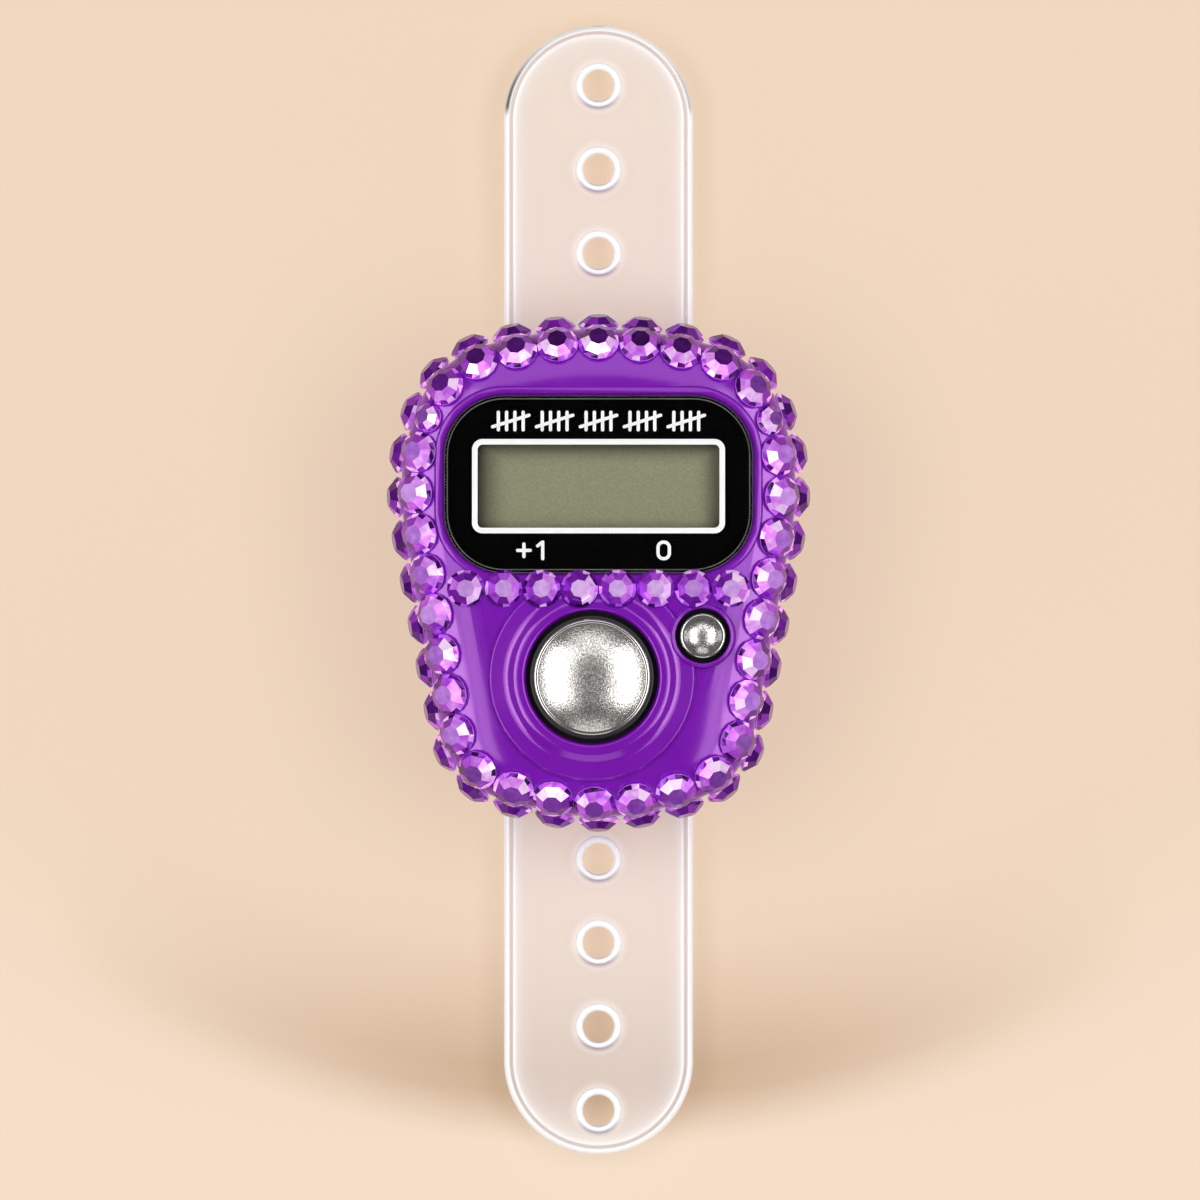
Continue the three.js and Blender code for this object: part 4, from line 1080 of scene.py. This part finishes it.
def printed(piece, ink):
    finish(piece, ink, "case", smooth=25)


def printed_band(name, outer, inner, ink):
    """A flat printed band between two outlines that have as many points."""
    ring = [(inner, PRINT_LOW), (outer, PRINT_LOW), (outer, PRINT_TOP), (inner, PRINT_TOP)]
    printed(loft(name, ring + ring[:1], hollow=True), ink)


def display():
    edge, top = 0.12, LENS_HIGH.z
    levels = ((0, LENS_LOW.z), (0, top - edge), (0.3 * edge, top - 0.3 * edge), (edge, top), (2 * edge, top))
    lens = loft("window_lens", [(window_outline(LENS_GAP + inset), height) for inset, height in levels])
    finish(lens, LENS, "case", ["display_lens"], smooth=25)
    mask = prism("window_mask", window_outline(LENS_GAP), MASK_LOW.z, PRINT_LOW - 0.005)
    cut(mask, prism("opening", view_outline(), MASK_LOW.z - 1, MASK_HIGH.z + 1))
    finish(mask, BLACK_PRINT, "case", ["display_mask"], smooth=25)
    printed_band("frame_print", view_outline(-PRINT_STROKE), view_outline(), GLOWING_WHITE_PRINT)
    # The grey band round the mask is a painted highlight of the lens's edge, not print.
    printed_band("edge_highlight_band", window_outline(0.4), window_outline(0.48), GREY_EDGE_HIGHLIGHT)


def stroke(start, end):
    """A printed stroke with round ends between two points."""
    start, end = Vector(start), Vector(end)
    run = end - start
    width = 0.26
    outline = rounded_rectangle((run.length + width, width, width / 2 - 0.001), step=15)
    turn = Matrix.Rotation(math.atan2(run.y, run.x), 2)
    return prism("stroke", [turn @ p + (start + end) / 2 for p in outline], PRINT_LOW, PRINT_TOP)


def printed_marks():
    """Groups of five tally strokes over the display, a plus one and a nought over the buttons."""
    strokes = []
    for group in range(-2, 3):
        middle = group * TALLY_PITCH
        for k in range(4):
            x = middle + (k - 1.5) * TALLY_STEP
            strokes.append(stroke((x, TALLY_LOW), (x, TALLY_HIGH)))
        left, right = middle - TALLY_SLANT, middle + TALLY_SLANT
        strokes.append(stroke((left, TALLY_LOW + 0.24), (right, TALLY_HIGH - 0.24)))
    printed(join("tally_print", strokes), GLOWING_WHITE_PRINT)
    plus_one = [
        stroke((-6.45, MARK_Y), (-5.45, MARK_Y)), stroke((-5.95, MARK_Y - 0.5), (-5.95, MARK_Y + 0.5)),
        stroke((-4.45, MARK_Y - 0.66), (-4.45, MARK_Y + 0.66)),
        stroke((-4.85, MARK_Y + 0.36), (-4.5, MARK_Y + 0.64)),
    ]
    printed(join("plus_one_print", plus_one), GLOWING_WHITE_PRINT)
    outer, inner = [rounded_rectangle(shape, MARK_Y, centre_x=5.2)
                    for shape in ((1.16, 1.58, 0.56), (0.64, 1.06, 0.31))]
    printed_band("nought_print", outer, inner, GLOWING_WHITE_PRINT)


# Buttons


def cap(name, node, material, body, place):
    """A domed cap with a polished, rounded rim."""
    low, high = node_box(node)
    radius = (high.x - low.x) / 2
    rim = 0.3
    rise = high.z - low.z - rim
    section = [(0, low.z), (radius - 0.12, low.z), (radius - 0.02, low.z + 0.06), (radius, low.z + 0.14),
               (radius - 0.02, low.z + 0.22), (radius - 0.08, low.z + 0.28), (radius - 0.16, low.z + 0.31),
               (radius - 0.24, low.z + 0.3)]
    inner = radius - 0.3
    for k in range(17):
        out = inner * math.cos(math.pi / 2 * k / 16) if k < 16 else 0
        section.append((out, low.z + rim + rise * (1 - (out / inner) ** CAP_POWER)))
    piece = turned(name, section, place, 128)
    return finish(piece, material, body, [node], smooth=30)


def plunger(name, node, body, place, hole, flange, post):
    low, high = node_box(node)
    flange_top = CEILING - GAP
    barrel = hole / 2 - GAP
    corners = [(0, low.z, 0), (post / 2, low.z, 0), (post / 2, flange_top - 0.8, 0),
               (flange / 2, flange_top - 0.8, 0.1), (flange / 2, flange_top, 0.1), (barrel, flange_top, 0),
               (barrel, high.z, 0.16), (0, high.z, 0)]
    piece = turned_corners(name, corners, place, 128, step=18)
    return finish(piece, BLACK_PLASTIC, body, [node], smooth=30)


def rubber_dome(name, node, place):
    """A thin rubber cone that folds down under its button."""
    low, high = node_box(node)
    base = (high.x - low.x) / 2
    top = base * DOME_TOP
    inside = high.z - DOME_WALL
    corners = [(base - DOME_WALL, low.z, 0), (base, low.z, 0), (top, high.z, 0.2), (0, high.z, 0),
               (0, inside, 0), (top - DOME_WALL, inside, 0.1), (base - DOME_WALL, low.z, 0)]
    piece = turned_corners(name, corners, place, 64, step=20, hollow=True)
    finish(piece, RUBBER, "case", [node], smooth=30)
    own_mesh(piece)


# Strap


def hole_places():
    places = list(PEGS)
    for k in range(TAIL_HOLES):
        places.append(STRAP_TOP_END - UPPER_END_TO_HOLE - k * HOLE_PITCH)
        places.append(STRAP_BOTTOM_END + LOWER_END_TO_HOLE + k * HOLE_PITCH)
    return places


def whole_strap():
    width = STRAP_HIGH.x - STRAP_LOW.x
    length = STRAP_TOP_END - STRAP_BOTTOM_END
    centre = (STRAP_TOP_END + STRAP_BOTTOM_END) / 2
    low, high = STRAP_LOW.z, STRAP_HIGH.z
    middle = (low + high) / 2
    half = (high - low) / 2
    drop = 0.2
    shape = (width, length, width / 2 - 0.001)
    edge = [(1.25, half - drop), (0.95, half - drop + 0.005), (0.78, half - drop + 0.04), (0.66, half - 0.07),
            (0.54, half - 0.01), (0.42, half), (0.3, half - 0.02), (0.16, half - 0.1), (0.06, half - 0.24),
            (0.0, half - 0.45)]
    section = [(inset, -height) for inset, height in edge] + [(inset, height) for inset, height in edge[::-1]]
    rings = [(rounded_rectangle(shape, centre, inset, step=3), middle + height) for inset, height in section]
    strap = loft("strap", rings)
    field = half - drop
    cut(strap, *[turned("way", hole_section(STRAP_HOLE + 0.5, low - 1, high + 1), (0, y), 48)
                 for y in hole_places()])
    inner, outer = STRAP_HOLE / 2, EYELET / 2
    corners = [(inner, -half * 0.55, 0.02), (inner + 0.12, -half, 0.16), (outer - 0.22, -half, 0.2),
               (outer, -field + 0.04, 0.1), (outer, field - 0.04, 0.1), (outer - 0.22, half, 0.2),
               (inner + 0.12, half, 0.16), (inner, half * 0.55, 0.02)]
    section = [(p.x, middle + p.y) for p in rounded(corners, step=18)]
    section.append(section[0])
    add(strap, *[turned("eyelet", section, (0, y), 48, hollow=True) for y in hole_places()])
    return strap


def cross_cut(y, **settings):
    """Cuts the strap in edit mode across its length, and clears a side of the cut if told to."""
    bpy.ops.mesh.select_all(action="SELECT")
    bpy.ops.mesh.bisect(plane_co=(0, y, 0), plane_no=(0, 1, 0), threshold=1e-5, **settings)


def strap_pieces():
    """The strap in three lengths, parted under the keepers, with cross cuts where a tail folds."""
    whole = whole_strap()
    flat = whole.data.uv_layers.new(name=STRAP_MAP)
    for loop in whole.data.loops:
        corner = whole.data.vertices[loop.vertex_index].co
        flat.data[loop.index].uv = (corner.x / MAP_SPAN + 0.5, corner.y / MAP_SPAN + 0.5)
    upper_keeper, lower_keeper = KEEPERS
    lengths = (("upper", upper_keeper, None, 1), ("middle", lower_keeper, upper_keeper, 0),
               ("lower", None, lower_keeper, -1))
    for part, low, high, way in lengths:
        piece = copy_of(whole)
        piece.name = piece.data.name = f"strap_{part}_length"
        pick(piece)
        bpy.ops.object.mode_set(mode="EDIT")
        if low is not None:
            cross_cut(low, use_fill=True, clear_inner=True)
        if high is not None:
            cross_cut(high, use_fill=True, clear_outer=True)
        tail = f"{part}_tail"
        if way:
            start = (upper_keeper if way > 0 else lower_keeper) + way * KEEPER_WIDTH / 2
            for k in range(FOLD_CUTS + 1):
                cross_cut(start + way * FOLD_LENGTH * k / FOLD_CUTS)
        bpy.ops.object.mode_set(mode="OBJECT")
        node = f"strap_{tail}" if way else "strap_middle"
        finish(piece, STRAP, None if way else "case", [node], smooth=35)
        if way:
            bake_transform(piece)
    bpy.data.objects.remove(whole)


# Small metal pieces


def pan_screw(node, head_height, shank):
    low, high = node_box(node)
    place = (low + high) / 2
    head = (high.x - low.x) / 2
    seat = low.z + head_height
    corners = [(0, low.z, 0), (head * 0.82, low.z, 0.25), (head, seat - 0.3, 0.2), (head, seat, 0.05),
               (shank, seat, 0), (shank, high.z - shank, 0), (0.15, high.z, 0), (0, high.z, 0)]
    piece = turned_corners(f"{node}_turned", corners, place, 40, step=20)
    for w, h in ((1.3, 0.35), (0.35, 1.3)):
        levels = (((w + 0.06, h + 0.06, 0.05), -0.5), ((w, h, 0.05), 0.1), ((w * 0.8, h * 0.8, 0.04), 0.6))
        cut(piece, loft("arm", [
            (rounded_rectangle(shape, place.y, centre_x=place.x), low.z + rise) for shape, rise in levels]))
    finish(piece, STEEL, "case", [node], smooth=30)


def dress_nodes():
    """Gives each node that still shows its finish."""
    finishes = {
        "lcd_front_polariser": FILM, "lcd_front_glass": GLASS, "lcd_rear_glass": GLASS,
        "lcd_reflector": FILM, "zebra_connector": RUBBER, "circuit_board": BOARD,
        "processor_blob": BLACK_PLASTIC, "timing_resistor": BLACK_PLASTIC, "supply_capacitor": CERAMIC,
        "rubber_keypad": RUBBER, "count_contact_pill": CARBON, "reset_contact_pill": CARBON,
        "cell_can": STEEL, "cell_gasket": BLACK_PLASTIC, "cell_cap": STEEL,
        "negative_contact": BRASS, "positive_contact": BRASS,
    }
    for name, material in finishes.items():
        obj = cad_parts[name]
        obj.data.materials.clear()
        obj.data.materials.append(material)


# Table, lights and camera


def table():
    deselect()
    bpy.ops.mesh.primitive_plane_add(size=6)
    plane = bpy.context.active_object
    plane.name = "table"
    made = Nodes("pale_table")
    made.set({"Roughness": 0.9, "Specular IOR Level": 0.1})
    broad = made.marks(0.05, 0.5)
    paper = made.mix(broad, srgb(240, 215, 190), srgb(243, 218, 193))
    x, y = made.place()[:2]
    # Painted shadow round the strap's lower end: darkest just above a curved line across the table, fading up
    # towards the case and out to the sides; beyond the line the table is lighter.
    fold = made.math("MULTIPLY_ADD", made.times(x, x), 0.0063, STRAP_BOTTOM_END + 2.6)
    rise = made.less(y, fold)
    beside = made.spread(made.math("ABSOLUTE", x), 1, 0, 8, 44)
    shade = made.over(20, made.math("ADD", rise, 2), (
        (0.0, 0.0), (0.04, 0.15), (0.2, 0.95), (0.3, 1.0), (0.55, 0.5), (0.8, 0.12), (1.0, 0.0)))
    drawn = made.math("DIVIDE", rise, made.spread(made.math("ABSOLUTE", x), 1, 6, 4, 40))
    near = made.spread(drawn, 1, 0, -1.5, 2.5)
    front = made.mix(near, paper, srgb(246, 224, 202))
    colour = made.mix(made.times(shade, beside), front, srgb(208, 178, 150))
    made.paint("Base Color", colour)
    glow = made.node("ShaderNodeEmission")
    made.link(colour, glow.inputs["Color"])
    half = made.node("ShaderNodeMixShader")
    half.inputs["Fac"].default_value = 0.65
    clear = made.node("ShaderNodeBsdfTransparent")
    geometry = made.node("ShaderNodeNewGeometry")
    under = made.node("ShaderNodeMixShader")
    output = made.tree.nodes["Material Output"]
    made.link(made.shader.outputs["BSDF"], half.inputs[1])
    made.link(glow.outputs["Emission"], half.inputs[2])
    made.link(geometry.outputs["Backfacing"], under.inputs["Fac"])
    made.link(half.outputs["Shader"], under.inputs[1])
    made.link(clear.outputs["BSDF"], under.inputs[2])
    made.link(under.outputs["Shader"], output.inputs["Surface"])
    plane.data.materials.append(made.material)


def softbox(name, azimuth, angle, width, length, radiance, distance=0.5):
    """A rectangular light that faces the counter from an azimuth and an angle off the vertical."""
    turn, lean = math.radians(azimuth), math.radians(angle)
    way = Vector((math.cos(turn) * math.sin(lean), math.sin(turn) * math.sin(lean), math.cos(lean)))
    bpy.ops.object.light_add(type="AREA", location=way * distance)
    lamp = bpy.context.active_object
    lamp.name = name
    lamp.rotation_euler = (0, lean, turn)
    lamp.data.shape = "RECTANGLE"
    lamp.data.size = width
    lamp.data.size_y = length
    lamp.data.energy = radiance * math.pi * width * length


def lights():
    softbox("left_softbox", 180, 35, 0.17, 0.46, 3.9)
    softbox("right_softbox", 0, 35, 0.17, 0.46, 3.9)
    softbox("left_inner", 180, 18.5, 0.09, 0.42, 2.0, distance=0.52)
    softbox("right_inner", 0, 18.5, 0.09, 0.42, 2.0, distance=0.52)
    softbox("top_softbox", 90, 30, 0.24, 0.3, 1.1)
    softbox("left_fill", 180, 68, 0.2, 0.3, 0.6)
    softbox("right_fill", 0, 68, 0.2, 0.3, 0.6)
    softbox("bottom_fill", -90, 58, 0.26, 0.3, 0.8)
    world = bpy.data.worlds.new("studio")
    bpy.context.scene.world = world
    world.use_nodes = True
    world.node_tree.nodes["Background"].inputs["Color"].default_value = (1.0, 0.99, 0.98, 1)
    world.node_tree.nodes["Background"].inputs["Strength"].default_value = 0.13


def camera():
    """A long lens straight above, with the photograph's 96 mm across the frame."""
    distance, across, sensor = 3.0, 0.0957, 36.0
    bpy.ops.object.camera_add(location=(0.00012, -0.0008, distance), rotation=(0, 0, 0))
    eye = bpy.context.active_object
    eye.data.sensor_width = sensor
    eye.data.lens = sensor * (distance - FACE / 1000) / across
    eye.data.clip_end = 10
    bpy.context.scene.camera = eye


front_cover()
rear_cover()
battery_door()
# Painted light: the shoulder stones are lit on their inner side, the wall stones on their outer side, and the
# wall stones' tables get less light, as painted shade.
stone_ring("shoulder_stones", "front_stone_ring", front_ring_places(), STONE_SEAT_HEIGHT,
           STONE_SEAT_ANGLE, STONE_HEIGHT, -1, 1.0, seed=11)
stone_ring("wall_stones", "side_stone_ring", side_ring_places(), SIDE_RING_HEIGHT, SIDE_STONE_ANGLE,
           SIDE_STONE_HEIGHT, 1, 0.4, seed=12)
divider_stones()
display()
printed_marks()
cap("count_cap_dome", "count_cap", COUNT_SILVER, "count_button", COUNT_PLACE)
cap("reset_cap_dome", "reset_cap", RESET_SILVER, "reset_button", RESET_PLACE)
plunger("count_plunger_turned", "count_plunger", "count_button", COUNT_PLACE, COUNT_HOLE, 11.4, 3.0)
plunger("reset_plunger_turned", "reset_plunger", "reset_button", RESET_PLACE, RESET_HOLE, 5.2, 1.6)
rubber_dome("count_dome_rubber", "count_dome", COUNT_PLACE)
rubber_dome("reset_dome_rubber", "reset_dome", RESET_PLACE)
strap_pieces()
for kind, how_many, head_height, shank in SCREWS:
    for number in range(1, how_many + 1):
        pan_screw(f"{kind}_{number}", head_height, shank)
dress_nodes()
table()
lights()
camera()

bpy.context.scene.view_settings.view_transform = "Standard"
